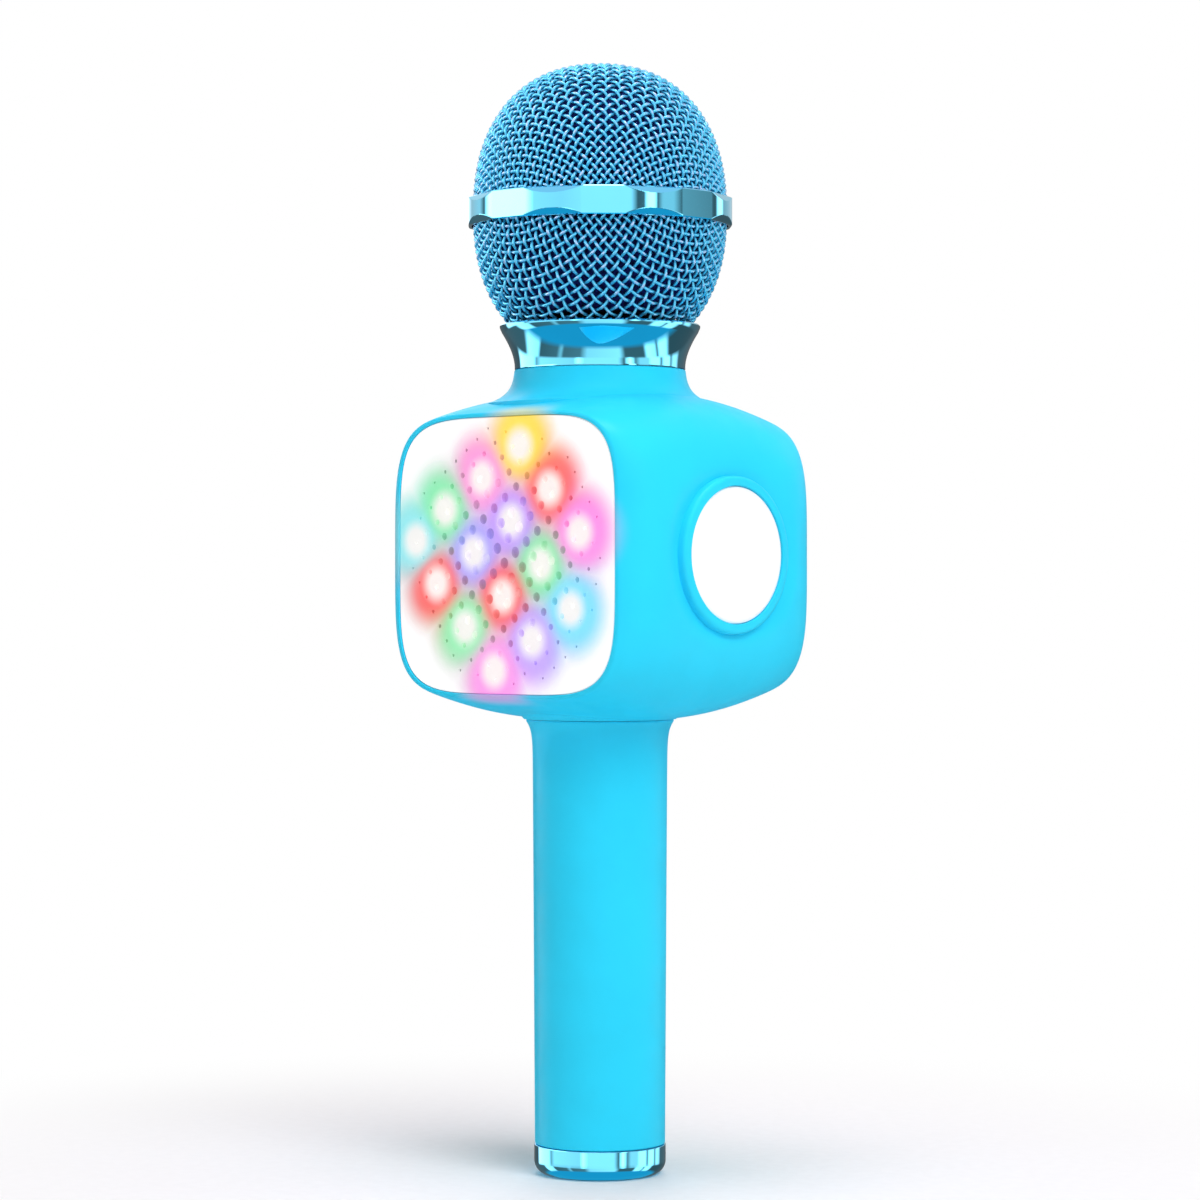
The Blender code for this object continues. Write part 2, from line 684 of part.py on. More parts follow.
def make_foot(looks):
    """Plated end ring, end cap, its two screws, and the sockets on their board."""
    ring = [
        (RING_BORE, 0),
        (FOOT_RADIUS, 0),
        (14.1, 0.8),
        (RING_RADIUS, FOOT_EDGE_HEIGHT),
        (RING_RADIUS, RING_TOP),
        (HANDLE_BORE - GAP, RING_TOP),
        (HANDLE_BORE - GAP, RING_TOP + 3.6),
        (RING_BORE - 0.2, RING_TOP + 3.6),
        (RING_BORE - 0.2, 4.0),
        (RING_BORE, 4.0),
    ]
    new_object("end_ring", turned(ring, 30, closed=True), looks["plated"])

    cap = drum(END_CAP_RADIUS, 0, END_CAP_THICKNESS)
    end_cap = new_object("end_cap", turned(cap, 30), looks["dark"])
    ports = bmesh.new()
    block(ports, (*CHARGE_PLACE, 1.0), (9.2, 3.4, 6.0))
    block(ports, (CARD_PLACE[0], CARD_PLACE[1] + 0.6, 1.0), (11.4, 1.6, 6.0))
    turned(drum(AUDIO_BORE, -2.0, 4.0), 16, around("Z", *AUDIO_PLACE), bm=ports)
    screw = [(0, 0.2), (1.3, 0.2), (1.3, 0.7), (0.65, 0.75), (0.65, 8.0), (0, 8.0)]
    screw_hole = [(0, -1.0), (1.6, -1.0), (1.6, 1.1), (0.95, 1.1), (0.95, 4.0), (0, 4.0)]
    for number, place in enumerate(END_SCREW_PLACES, 1):
        turned(screw_hole, 8, around("Z", *place), bm=ports)
        shape = turned(screw, 8, around("Z", *place))
        new_object(f"end_cap_screw_{number}", shape, looks["steel"])
    cut(end_cap, new_object("port_shapes", ports, looks["dark"], helper=True))

    board = turned(drum(SOCKET_BOARD_RADIUS, SOCKET_TOP + GAP, SOCKET_TOP + GAP + 1.2), 24)
    new_object("charge_board", board, looks["board"])
    make_sockets(looks)


def make_sockets(looks):
    """Charging socket, card socket and audio socket between the end cap and their board."""
    low = END_CAP_THICKNESS + GAP
    middle = (low + SOCKET_TOP) / 2
    tall = SOCKET_TOP - low
    depth = 4.5  # of the two rectangular mouths
    for name, (x, y), size, mouth_y, mouth_size in (
        ("charge_socket", CHARGE_PLACE, (8.8, 3.2), 0.0, (7.8, 2.2)),
        ("card_socket", CARD_PLACE, (11.0, 2.6), 0.6, (10.2, 0.8)),
    ):
        shape = bmesh.new()
        block(shape, (x, y, middle), (*size, tall))
        socket = new_object(name, shape, looks["steel"])
        mouth = bmesh.new()
        block(mouth, (x, y + mouth_y, low), (*mouth_size, 2 * depth))
        cut(socket, new_object(f"{name}_mouth", mouth, looks["steel"], helper=True))

    barrel = [(AUDIO_BORE, low), (2.9, low), (2.9, SOCKET_TOP), (AUDIO_BORE, SOCKET_TOP)]
    shape = turned(barrel, 16, around("Z", *AUDIO_PLACE), closed=True)
    new_object("audio_socket", shape, looks["dark"])


def main():
    clear_scene()
    looks = make_materials()
    make_grilles(looks)
    make_band(looks)
    make_head_inside(looks)
    make_collar(looks)
    make_housing(looks)
    for side, word in ((-1, "front"), (1, "rear")):
        make_panel(side, word, looks)
        make_light_board(side, word, looks)
        make_speaker(side, word, looks)
    make_main_board(looks)
    make_badge(looks)
    make_controls(looks)
    make_handle(looks)
    make_battery(looks)
    make_foot(looks)


main()
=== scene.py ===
"""Looks of the handheld toy karaoke microphone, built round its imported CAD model.

Sizes are in millimetres, as in the CAD source, and new_piece() makes them metres. The microphone
stands upright on the floor, its front panel faces -Y and its round badge faces +X.
"""

import math
from functools import partial

import bmesh
import bpy
import numpy as np
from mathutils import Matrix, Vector


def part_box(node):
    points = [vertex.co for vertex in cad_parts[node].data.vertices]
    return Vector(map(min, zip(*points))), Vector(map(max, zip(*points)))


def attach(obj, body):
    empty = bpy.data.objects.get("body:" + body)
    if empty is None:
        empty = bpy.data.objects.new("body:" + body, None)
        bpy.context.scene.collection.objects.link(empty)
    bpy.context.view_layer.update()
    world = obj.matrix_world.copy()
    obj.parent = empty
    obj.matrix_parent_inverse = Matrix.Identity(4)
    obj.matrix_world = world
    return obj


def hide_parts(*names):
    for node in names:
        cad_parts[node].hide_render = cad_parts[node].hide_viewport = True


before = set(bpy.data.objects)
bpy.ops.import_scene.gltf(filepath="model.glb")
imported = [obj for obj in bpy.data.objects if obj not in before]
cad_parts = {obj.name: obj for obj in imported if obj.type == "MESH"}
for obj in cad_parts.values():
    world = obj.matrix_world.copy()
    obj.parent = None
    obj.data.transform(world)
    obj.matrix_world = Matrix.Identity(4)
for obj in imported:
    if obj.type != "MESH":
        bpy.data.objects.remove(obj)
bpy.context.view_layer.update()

MM = 0.001
ROOT = "microphone"
SHARP_ANGLE = math.radians(32)
FACET_ANGLE = 0.35  # keeps the edges of the band's facets crisp
ROUND = 192  # segments of a large turned piece
SEAM = 0.12  # the line left between two pieces that touch


def cad_box(node):
    """Lowest and highest corner of a CAD node, in millimetres."""
    low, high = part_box(node)
    return low / MM, high / MM


housing_low, housing_high = cad_box("body_housing")
band_low, band_high = cad_box("grille_band")
panel_low, panel_high = cad_box("front_panel")
badge_low, badge_high = cad_box("side_badge")
plate_low, plate_high = cad_box("control_plate")
foam_low, foam_high = cad_box("foam_filter")
bowl_low, _ = cad_box("lower_grille")
_, dome_high = cad_box("upper_grille")
_, collar_high = cad_box("neck_collar")
_, handle_high = cad_box("handle_tube")
_, ring_high = cad_box("end_ring")
_, cap_high = cad_box("end_cap")

# Housing: superellipse sections stacked along Y between two flat frames, as in the CAD source
BODY_CENTRE = (panel_low.z + panel_high.z) / 2
BODY_HALF_DEPTH = housing_high.y
BODY_HALF_WIDTH = 40.7
BODY_HALF_HEIGHT = 36.8
FRAME_HALF_WIDTH = 34.0
FRAME_HALF_HEIGHT = 31.3
WIDTH_CURVE = 5.2
HEIGHT_CURVE = 2.05
MIDDLE_EXPONENT = 3.5
FRAME_EXPONENT = 4.8
WALL = 2.4
RIM = 0.8
RIM_ROUND = 0.35
SEAT_WIDTH = 1.8
PANEL_FACE = -panel_low.y
PANEL_THICKNESS = panel_high.y - panel_low.y

# Neck and handle
NECK_TOP = housing_high.z
NECK_RADIUS = 19.0
NECK_FLARE = 0.2
NECK_FLARE_LENGTH = 2.2
NECK_FOOT = 172.2
NECK_BORE = 16.5
NECK_ROOT = 170.4
SOCKET_BOTTOM = housing_low.z
SOCKET_RADIUS = 17.3
SOCKET_TOP = 106.0
RING_TOP = ring_high.z - 3.6  # the handle stands on the ring here, and the ring's collar goes on inside
HANDLE_RADIUS_LOW = 14.6
HANDLE_RADIUS_HIGH = 15.1
HANDLE_STRAIGHT_TOP = 92.0
HANDLE_FLARE_START = 94.0
HANDLE_FLARE = 0.04
HANDLE_TOP = 101.2
HANDLE_BORE = 12.4
SPIGOT_RADIUS = 13.4

# Round bosses on the two sides
BOSS_FACE = housing_high.x
BOSS_LIP_RADIUS = 17.2
BOSS_ROOT = 35.5
DISC_RADIUS = badge_high.y
DISC_FACE = badge_high.x
DISC_SEAT = 38.0
MOAT_HEIGHT = 39.2  # the shallow hollow round each boss
MOAT_SLOPE = 0.22
MOAT_BLEND = 0.35
MOAT_REACH = 27.0

# Head
HEAD_CENTRE = (band_low.z + band_high.z) / 2
HEAD_RADIUS = 28.6
HEAD_HALF_HEIGHT = dome_high.z - HEAD_CENTRE
HEAD_CURVE = 2.3
BAND_RADIUS = band_high.y
BAND_FACETS = 8
FLAT_DISTANCE = 29.4
FLAT_CROWN = 0.1
LENS_HEIGHT = 1.5  # the facets over and under each corner
LENS_DEPTH = 0.9
BAND_HALF_HEIGHT = (band_high.z - band_low.z) / 2
BAND_BORE = 28.8
FOAM_GAP = 0.3
FOAM_BORE = 11.0
FOAM_BORE_TOP = 213.0

# Weave: the wire, and how the pitch tightens along the profile
WIRE_RADIUS = 0.37
WIRE_CRIMP = 0.43  # how far a wire rises and falls at its crossings
WIRE_SIDES = 6
WIRE_STEPS = 4  # sample points between two crossings
POLE_DIAGONAL = 3.35
TIGHTENING = 1.72
TIGHTENING_REACH = 41.8
TIGHTENING_POWER = 2.9
BOWL_COARSENING = 1.12
WEAVE_EDGE = 0.6  # the wires end at this height from the centre, behind the band

# Panels: lights on a sheared lattice, sound holes on a turned one
LED_START = (2.1, 7.5)
LED_STEP_I = (9.0, -9.6)
LED_STEP_J = (11.6, 6.8)
LED_REACH = 27.7
SPOT_RADIUS = 1.7  # a light's own white spot starts to take on its tint here
SPOT_EDGE = 5.6
GLOW_FADE = 6.4
GLOW_REACH = 14.2
HOLE_START = (0.0, -1.7)
HOLE_STEP_I = (3.36, 2.31)
HOLE_STEP_J = (2.16, -3.24)
HOLE_FIELD = 29.5
HOLE_RADIUS = 1.25
HOLE_SHRINK = 31.5
HOLE_SHRINK_POWER = 2.2
SMALLEST_HOLE = 0.32
HOLE_DEPTH = 1.3

# Keys on the left side: y and z from the plate's centre, radius and symbol
KEY_OFFSET = 9.2
KEYS = {
    "key_play": (0.0, 0.0, 4.2, "play"),
    "key_volume_up": (0.0, KEY_OFFSET, 3.3, "plus"),
    "key_volume_down": (0.0, -KEY_OFFSET, 3.3, "minus"),
    "key_next": (-KEY_OFFSET, 0.0, 3.3, "next"),
    "key_previous": (KEY_OFFSET, 0.0, 3.3, "previous"),
}
KEY_CLEARANCE = 0.25
KEY_FLANGE = 0.7
KEY_DISH = 0.22

# Foot
END_SCREW_PLACES = ((-7.6, 0.9), (8.6, -2.2))
CHARGE_PLACE = (0.0, -5.2)
CARD_PLACE = (-2.4, 7.6)
AUDIO_PLACE = (5.6, 3.4)

# Camera and room
CAMERA_AZIMUTH = math.radians(43.4)
CAMERA_DISTANCE = 838.0
CAMERA_HEIGHT = 128.35
CAMERA_LENS = 112.0
FLOOR_RADIUS = 2600.0


# ------------ geometry helpers


def new_piece(name, vertices, faces, look, body=ROOT, slot=None, replaces=(), angle=SHARP_ANGLE):
    """A piece in metres from points in millimetres, riding on a body and standing for CAD nodes."""
    mesh = bpy.data.meshes.new(name)
    mesh.from_pydata((np.asarray(vertices, float) * MM).tolist(), [], faces)
    mesh.materials.append(look)
    mesh.validate()
    outward = bmesh.new()
    outward.from_mesh(mesh)
    bmesh.ops.recalc_face_normals(outward, faces=outward.faces)
    outward.to_mesh(mesh)
    outward.free()
    mesh.shade_smooth()
    mesh.set_sharp_from_angle(angle=angle)
    piece = bpy.data.objects.new(name, mesh)
    bpy.context.scene.collection.objects.link(piece)
    if body:
        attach(piece, body)
    if replaces:
        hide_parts(*replaces)
    return piece


def skin(rings, closed=False):
    """(points, faces) over rings of points. A ring of one point is a pole, and open ends are capped."""
    rings = [np.asarray(ring, float).reshape(-1, 3) for ring in rings]
    starts = np.cumsum([0] + [len(ring) for ring in rings])
    faces = []
    count = len(rings)
    for i in range(count if closed else count - 1):
        k = (i + 1) % count
        near, far = len(rings[i]), len(rings[k])
        around = max(near, far)
        for j in range(around):
            corners = [
                starts[i] + j % near,
                starts[i] + (j + 1) % near,
                starts[k] + (j + 1) % far,
                starts[k] + j % far,
            ]
            faces.append(list(dict.fromkeys(int(corner) for corner in corners)))
    if not closed:
        for i in (0, count - 1):
            if len(rings[i]) > 2:
                cap = list(range(starts[i], starts[i] + len(rings[i])))
                faces.append(cap[::-1] if i == 0 else cap)
    return np.concatenate(rings), faces


def merged(shapes):
    """One (points, faces) from several."""
    points, faces, start = [], [], 0
    for shape_points, shape_faces in shapes:
        points.append(shape_points)
        faces += [[start + corner for corner in face] for face in shape_faces]
        start += len(shape_points)
    return np.concatenate(points), faces


def on_axis(axis, first=0.0, second=0.0):
    """Places rings about a line parallel to an axis, with one radius or one for each angle."""

    def place(radius, angles, height):
        ring = [first + radius * np.cos(angles), second + radius * np.sin(angles)]
        ring.insert("XYZ".index(axis), np.full_like(ring[0], height))
        return np.stack(ring, axis=1)

    return place


UPRIGHT = on_axis("Z")
SIDEWAYS = on_axis("X", 0.0, BODY_CENTRE)


def turned(profile, segments=ROUND, place=UPRIGHT, closed=False):
    """Turns (radius, height) points about a line. Radius 0 makes a pole."""
    angles = (np.arange(segments) + 0.5) * math.tau / segments
    rings = [place(r, angles if r else angles[:1], h) for r, h in profile]
    return skin(rings, closed)


def rounded(outline, steps=5):
    """A closed outline of (a, b, radius) corners with each corner drawn as a curve of that size."""
    points = []
    count = len(outline)
    for i, (a, b, radius) in enumerate(outline):
        corner = np.array((a, b))
        if not radius:
            points.append(tuple(corner))
            continue
        before = np.array(outline[i - 1][:2]) - corner
        after = np.array(outline[(i + 1) % count][:2]) - corner
        start = corner + before * min(0.48, radius / np.linalg.norm(before))
        end = corner + after * min(0.48, radius / np.linalg.norm(after))
        for t in np.linspace(0, 1, steps + 1):
            points.append(tuple((1 - t) ** 2 * start + 2 * t * (1 - t) * corner + t * t * end))
    return points


def drum(radius, low, high, edge=0.0):
    """The profile of a solid cylinder whose rim is rounded at its high end."""
    outline = [(0.0, low, 0), (radius, low, 0), (radius, high, edge), (0.0, high, 0)]
    return rounded(outline)


def combine(piece, shape, operation):
    """Cuts a shape from a piece, or joins it on, and keeps the result as the piece's mesh."""
    other = new_piece("helper", *shape, piece.data.materials[0], body=None)
    modifier = piece.modifiers.new(operation, "BOOLEAN")
    modifier.operation = operation
    modifier.object = other
    modifier.solver = "EXACT"
    graph = bpy.context.evaluated_depsgraph_get()
    result = bpy.data.meshes.new_from_object(piece.evaluated_get(graph))
    piece.modifiers.clear()
    piece.data = result
    bpy.data.objects.remove(other)
    result.shade_smooth()
    result.set_sharp_from_angle(angle=SHARP_ANGLE)


# ------------ shapes shared with the CAD source


def bulge(y, middle, edge, exponent):
    """Half size of the housing at depth y, between its middle and its frames."""
    reach = BODY_HALF_DEPTH / (1 - (edge / middle) ** exponent) ** (1 / exponent)
    return middle * (1 - (abs(y) / reach) ** exponent) ** (1 / exponent)


def superellipse(half_width, half_height, exponent, y, count):
    """A ring of evenly spaced points round the housing's long axis Y."""
    dense = np.linspace(0, math.tau, 4001)
    across, up = np.cos(dense), np.sin(dense)
    x = np.sign(across) * np.abs(across) ** (2 / exponent) * half_width
    z = np.sign(up) * np.abs(up) ** (2 / exponent) * half_height
    length = np.concatenate([[0], np.cumsum(np.hypot(np.diff(x), np.diff(z)))])
    even = np.arange(count) * length[-1] / count
    x, z = np.interp(even, length, x), np.interp(even, length, z)
    return np.stack([x, np.full(count, float(y)), BODY_CENTRE + z], axis=1)


def body_section(y, inset, count):
    half_width = bulge(y, BODY_HALF_WIDTH, FRAME_HALF_WIDTH, WIDTH_CURVE) - inset
    half_height = bulge(y, BODY_HALF_HEIGHT, FRAME_HALF_HEIGHT, HEIGHT_CURVE) - inset
    share = (abs(y) / BODY_HALF_DEPTH) ** 8
    exponent = MIDDLE_EXPONENT + (FRAME_EXPONENT - MIDDLE_EXPONENT) * share
    return superellipse(half_width, half_height, exponent, y, count)


def frame_section(y, inset, count):
    half_width = FRAME_HALF_WIDTH - inset
    half_height = FRAME_HALF_HEIGHT - inset
    return superellipse(half_width, half_height, FRAME_EXPONENT, y, count)


def neck_radius(height):
    return NECK_RADIUS + NECK_FLARE * math.exp((NECK_TOP - height) / NECK_FLARE_LENGTH)


def handle_radius(height):
    share = min((height - RING_TOP) / (HANDLE_STRAIGHT_TOP - RING_TOP), 1.0)
    straight = HANDLE_RADIUS_LOW + (HANDLE_RADIUS_HIGH - HANDLE_RADIUS_LOW) * share
    return straight + HANDLE_FLARE * math.exp((height - HANDLE_FLARE_START) / 2.0)


def led_places():
    """{(i, j): (x, z)} of the fifteen lights, from the panel's centre."""
    places = {}
    for i in range(-1, 3):
        for j in range(-2, 2):
            if (i, j) != (2, 1):
                x = LED_START[0] + i * LED_STEP_I[0] + j * LED_STEP_J[0]
                z = LED_START[1] + i * LED_STEP_I[1] + j * LED_STEP_J[1]
                places[i, j] = (max(x, -LED_REACH), z)
    return places


# ------------ materials


def rgb(red, green, blue):
    """A display colour, 0 to 255, as linear light."""

    def linear(value):
        value /= 255
        return value / 12.92 if value <= 0.04045 else ((value + 0.055) / 1.055) ** 2.4

    return (linear(red), linear(green), linear(blue), 1.0)


def shaded(colour, by):
    return (*(min(1.0, channel * by) for channel in colour[:3]), 1.0)


def connect(tree, target, value):
    """Links a node's output to a socket, or sets the socket's own value."""
    if isinstance(value, bpy.types.NodeSocket):
        tree.links.new(value, target)
    else:
        target.default_value = value


def add_node(tree, kind, inputs=None, **settings):
    node = tree.nodes.new("ShaderNode" + kind)
    for setting, value in settings.items():
        setattr(node, setting, value)
    for socket, value in (inputs or {}).items():
        connect(tree, node.inputs[socket], value)
    return node


class Look:
    """A material being built: its Principled shader and short ways to add nodes to it."""

    def __init__(self, name, roughness=0.5, metallic=0.0, **sockets):
        self.material = bpy.data.materials.new(name)
        self.material.use_nodes = True
        self.tree = self.material.node_tree
        self.shader = self.tree.nodes["Principled BSDF"]
        self.set("Roughness", roughness)
        self.set("Metallic", metallic)
        for socket, value in sockets.items():
            self.set(socket.replace("_", " "), value)
        self.place = self.add("TexCoord").outputs["Object"]

    def set(self, socket, value):
        connect(self.tree, self.shader.inputs[socket], value)

    def add(self, kind, inputs=None, **settings):
        return add_node(self.tree, kind, inputs, **settings)

    def math(self, operation, first, second=0.0):
        return self.add("Math", {0: first, 1: second}, operation=operation).outputs[0]

    def mix(self, factor, first, second, blend="MIX"):
        inputs = {0: factor, 6: first, 7: second}
        return self.add("Mix", inputs, data_type="RGBA", blend_type=blend).outputs[2]

    def fit(self, value, low, high, to_low, to_high):
        """A value mapped from one range to another, and held inside it."""
        inputs = {0: value, 1: low, 2: high, 3: to_low, 4: to_high}
        return self.add("MapRange", inputs, interpolation_type="SMOOTHSTEP").outputs[0]

    def stretched(self, x, y, z):
        """The object's coordinates, scaled along each axis."""
        scale = self.add("VectorMath", {0: self.place, 1: (x, y, z)}, operation="MULTIPLY")
        return scale.outputs[0]

    def noise(self, grain, detail=3.0, place=None, roughness=0.5):
        """Noise whose spots are about grain millimetres wide."""
        inputs = {"Scale": 1 / (grain * MM), "Detail": detail, "Roughness": roughness}
        inputs["Vector"] = place or self.place
        return self.add("TexNoise", inputs).outputs["Fac"]

    def cells(self, size, feature="F1"):
        inputs = {"Vector": self.place, "Scale": 1 / (size * MM)}
        return self.add("TexVoronoi", inputs, feature=feature).outputs["Distance"]

    def bump(self, height, strength, distance):
        """Surface relief of that height in millimetres."""
        inputs = {"Height": height, "Strength": strength, "Distance": distance * MM}
        self.set("Normal", self.add("Bump", inputs).outputs[0])

    def patches(self, grain, low, high):
        """A value that goes from low to high in soft patches."""
        return self.fit(self.noise(grain), 0.3, 0.7, low, high)

    def varied(self, colour, amount, grain):
        """The colour, a little lighter and darker in soft patches."""
        return self.mix(self.patches(grain, 0.0, 1.0), shaded(colour, 1 - amount), shaded(colour, 1 + amount))


LED_TINTS = {
    (-1, 1): rgb(255, 226, 90),
    (-1, 0): rgb(255, 158, 222),
    (-1, -1): rgb(140, 238, 178),
    (-1, -2): rgb(150, 235, 240),
    (0, 1): rgb(255, 112, 110),
    (0, 0): rgb(196, 160, 255),
    (0, -1): rgb(176, 172, 255),
    (0, -2): rgb(255, 105, 105),
    (1, 1): rgb(255, 150, 232),
    (1, 0): rgb(138, 236, 172),
    (1, -1): rgb(255, 100, 100),
    (1, -2): rgb(150, 240, 182),
    (2, 0): rgb(130, 228, 255),
    (2, -1): rgb(200, 172, 255),
    (2, -2): rgb(255, 160, 236),
}


def light_glow(look):
    """The lights' colour over a panel's plane, and the distance to the nearest one.

    Each point takes the mean of the lights' tints, weighted by the inverse fourth power of their
    distance. Both faces carry the same lights, so X is turned round on the rear one. The distance
    is in millimetres.
    """
    parts = look.add("SeparateXYZ", {0: look.place})
    front = look.math("SIGN", look.math("MULTIPLY", parts.outputs[1], -1.0))
    across = look.math("MULTIPLY", look.math("MULTIPLY", parts.outputs[0], front), 1 / MM)
    up = look.math("SUBTRACT", look.math("MULTIPLY", parts.outputs[2], 1 / MM), BODY_CENTRE)
    flat = look.add("CombineXYZ", {0: across, 1: up}).outputs[0]
    total, weights, nearest = (0.0, 0.0, 0.0), 0.0, 100.0
    for key, (x, z) in led_places().items():
        away = look.add("VectorMath", {0: flat, 1: (x, z, 0.0)}, operation="DISTANCE").outputs["Value"]
        nearest = look.math("MINIMUM", away, nearest)
        weight = look.math("POWER", look.math("MAXIMUM", away, 1.0), -4.0)
        weights = look.math("ADD", weight, weights)
        inputs = {0: LED_TINTS[key][:3], 1: weight, 2: total}
        total = look.add("VectorMath", inputs, operation="MULTIPLY_ADD").outputs[0]
    mean = look.add("VectorMath", {0: total, 1: weights}, operation="DIVIDE").outputs[0]
    return mean, nearest


def glow_amount(look, nearest):
    """How strongly a point is tinted: not in a light's own white spot, nor far outside the field."""
    past_spot = look.fit(nearest, SPOT_RADIUS, SPOT_EDGE, 0.05, 1.0)
    before_end = look.fit(nearest, GLOW_FADE, GLOW_REACH, 1.0, 0.0)
    return look.math("MULTIPLY", past_spot, before_end)


def depth_from_middle(look):
    """Distance from the plane y = 0, in millimetres."""
    parts = look.add("SeparateXYZ", {0: look.place})
    return look.math("MULTIPLY", look.math("ABSOLUTE", parts.outputs[1]), 1 / MM)


def body_plastic():
    """Satin cyan plastic with a fine grain, with painted light beside the panels: the lights' tints painted
    onto the body next to each frame.
    """
    look = Look("body_plastic", Specular_IOR_Level=0.1, Coat_Weight=0.03, Coat_Roughness=0.2)
    colour = look.varied(rgb(44, 214, 250), 0.03, 22.0)
    glow, nearest = light_glow(look)
    # Painted light: within 6 mm of each frame the body takes on the nearby lights' tints, as painted spill.
    frame_spill_mask = look.fit(depth_from_middle(look), BODY_HALF_DEPTH - 6.0, BODY_HALF_DEPTH, 0.0, 0.6)
    colour = look.mix(look.math("MULTIPLY", glow_amount(look, nearest), frame_spill_mask), colour, glow)
    look.set("Base Color", colour)
    look.set("Roughness", look.patches(6.0, 0.36, 0.46))
    look.bump(look.noise(0.35, 2.0), 0.12, 0.02)
    return look.material


def panel_white():
    """Milky diffuser whose emission is the glow of the lights behind it. Painted shade darkens its sound
    holes inside, down to half far from the lights.
    """
    look = Look("panel_white", Specular_IOR_Level=0.08, Emission_Strength=0.56)
    glow, nearest = light_glow(look)
    white = look.mix(look.fit(nearest, 4.0, 9.0, 0.0, 1.0), (0.94, 0.91, 0.88, 1.0), (1.0, 1.0, 1.0, 1.0))
    field = look.mix(glow_amount(look, nearest), white, glow)
    # Painted shade: inside the sound holes the colour falls to half of its value far from the lights.
    hole_shade = look.fit(nearest, SPOT_RADIUS, 12.0, 1.0, 0.5)
    inside = look.fit(depth_from_middle(look), PANEL_FACE - 0.5, PANEL_FACE - 0.05, 0.0, 1.0)
    mottled = look.patches(1.6, 0.98, 1.0)
    light = look.math("MAXIMUM", inside, hole_shade)
    light = look.math("MULTIPLY", light, mottled)
    shade = look.add("CombineColor", {0: light, 1: light, 2: light}).outputs[0]
    colour = look.mix(1.0, field, shade, "MULTIPLY")
    look.set("Base Color", look.mix(1.0, colour, (0.62, 0.62, 0.62, 1.0), "MULTIPLY"))
    look.set("Emission Color", colour)
    look.set("Roughness", look.patches(4.0, 0.5, 0.62))
    look.bump(look.noise(0.3, 2.0), 0.08, 0.02)
    return look.material


def badge_white():
    # The emission is a faint painted glow that brightens the white badge, key plate and keys beyond the
    # lamps.
    look = Look("badge_white", Specular_IOR_Level=0.3, Emission_Strength=0.12)
    colour = look.varied((0.88, 0.88, 0.88, 1.0), 0.01, 8.0)
    look.set("Base Color", colour)
    look.set("Emission Color", colour)
    look.set("Roughness", look.patches(3.0, 0.28, 0.38))
    look.bump(look.noise(0.4, 2.0), 0.06, 0.02)
    return look.material


def grille_wire():
    """Anodised cyan wire with painted light: a pale lavender painted highlight on the crests, and painted
    shade in deep blue in the hollows.
    """
    look = Look("grille_wire", metallic=0.55, Specular_IOR_Level=0.7, Coat_Weight=0.35, Coat_Roughness=0.25)
    crest = look.add("Attribute", attribute_name="crest").outputs["Fac"]
    # Painted light: high crest values take a pale lavender painted highlight, low ones a deep blue painted
    # shade.
    crest_highlight = look.math("MULTIPLY", crest, look.patches(1.2, 0.75, 1.0))
    low = look.mix(look.noise(9.0), rgb(16, 66, 138), rgb(24, 80, 152))
    colour = look.mix(look.fit(crest_highlight, 0.05, 0.6, 0.0, 1.0), low, rgb(74, 194, 234))
    colour = look.mix(look.fit(crest_highlight, 0.72, 0.98, 0.0, 0.75), colour, rgb(196, 196, 236))
    look.set("Base Color", colour)
    look.set("Roughness", look.patches(0.7, 0.24, 0.4))
    look.bump(look.noise(0.25, 2.0), 0.1, 0.02)
    return look.material


def plated_cyan():
    """Vacuum plating with a cyan lacquer: a mirror with the faintest ripple."""
    look = Look("plated_cyan", metallic=1.0, Coat_Weight=0.2, Coat_Roughness=0.02)
    colour = look.varied(rgb(108, 208, 240), 0.02, 14.0)
    look.set("Base Color", colour)
    hairlines = look.noise(0.9, 4.0, look.stretched(1.0, 1.0, 7.0))
    look.set("Roughness", look.fit(hairlines, 0.45, 0.75, 0.02, 0.06))
    look.bump(look.noise(3.5, 1.0), 0.05, 0.03)
    return look.material


def foam_navy():
    """Open-cell foam in a dark navy."""
    look = Look("foam_navy", roughness=0.95, Specular_IOR_Level=0.1)
    pores = look.cells(0.8, "SMOOTH_F1")
    colour = look.mix(look.fit(pores, 0.1, 0.7, 0.0, 1.0), rgb(8, 16, 56), rgb(24, 40, 116))
    look.set("Base Color", colour)
    look.set("Roughness", look.fit(pores, 0.1, 0.7, 0.9, 1.0))
    look.bump(pores, 0.9, 0.5)
    return look.material


def grained(name, colour, amount, grain, roughness, relief, metallic=0.0, **sockets):
    """A plain material of its kind: soft colour patches, uneven gloss and a fine relief."""
    look = Look(name, metallic=metallic, **sockets)
    look.set("Base Color", look.varied(colour, amount, grain * 8))
    look.set("Roughness", look.patches(grain * 3, *roughness))
    look.bump(look.noise(grain, 2.0), 0.3, relief)
    return look.material


def brushed(name, colour, roughness, stretch):
    """Metal with fine parallel brush marks."""
    look = Look(name, metallic=1.0)
    marks = look.noise(0.5, 4.0, look.stretched(*stretch))
    look.set("Base Color", look.mix(marks, shaded(colour, 0.85), shaded(colour, 1.08)))
    look.set("Roughness", look.fit(marks, 0.3, 0.7, *roughness))
    look.bump(marks, 0.15, 0.02)
    return look.material


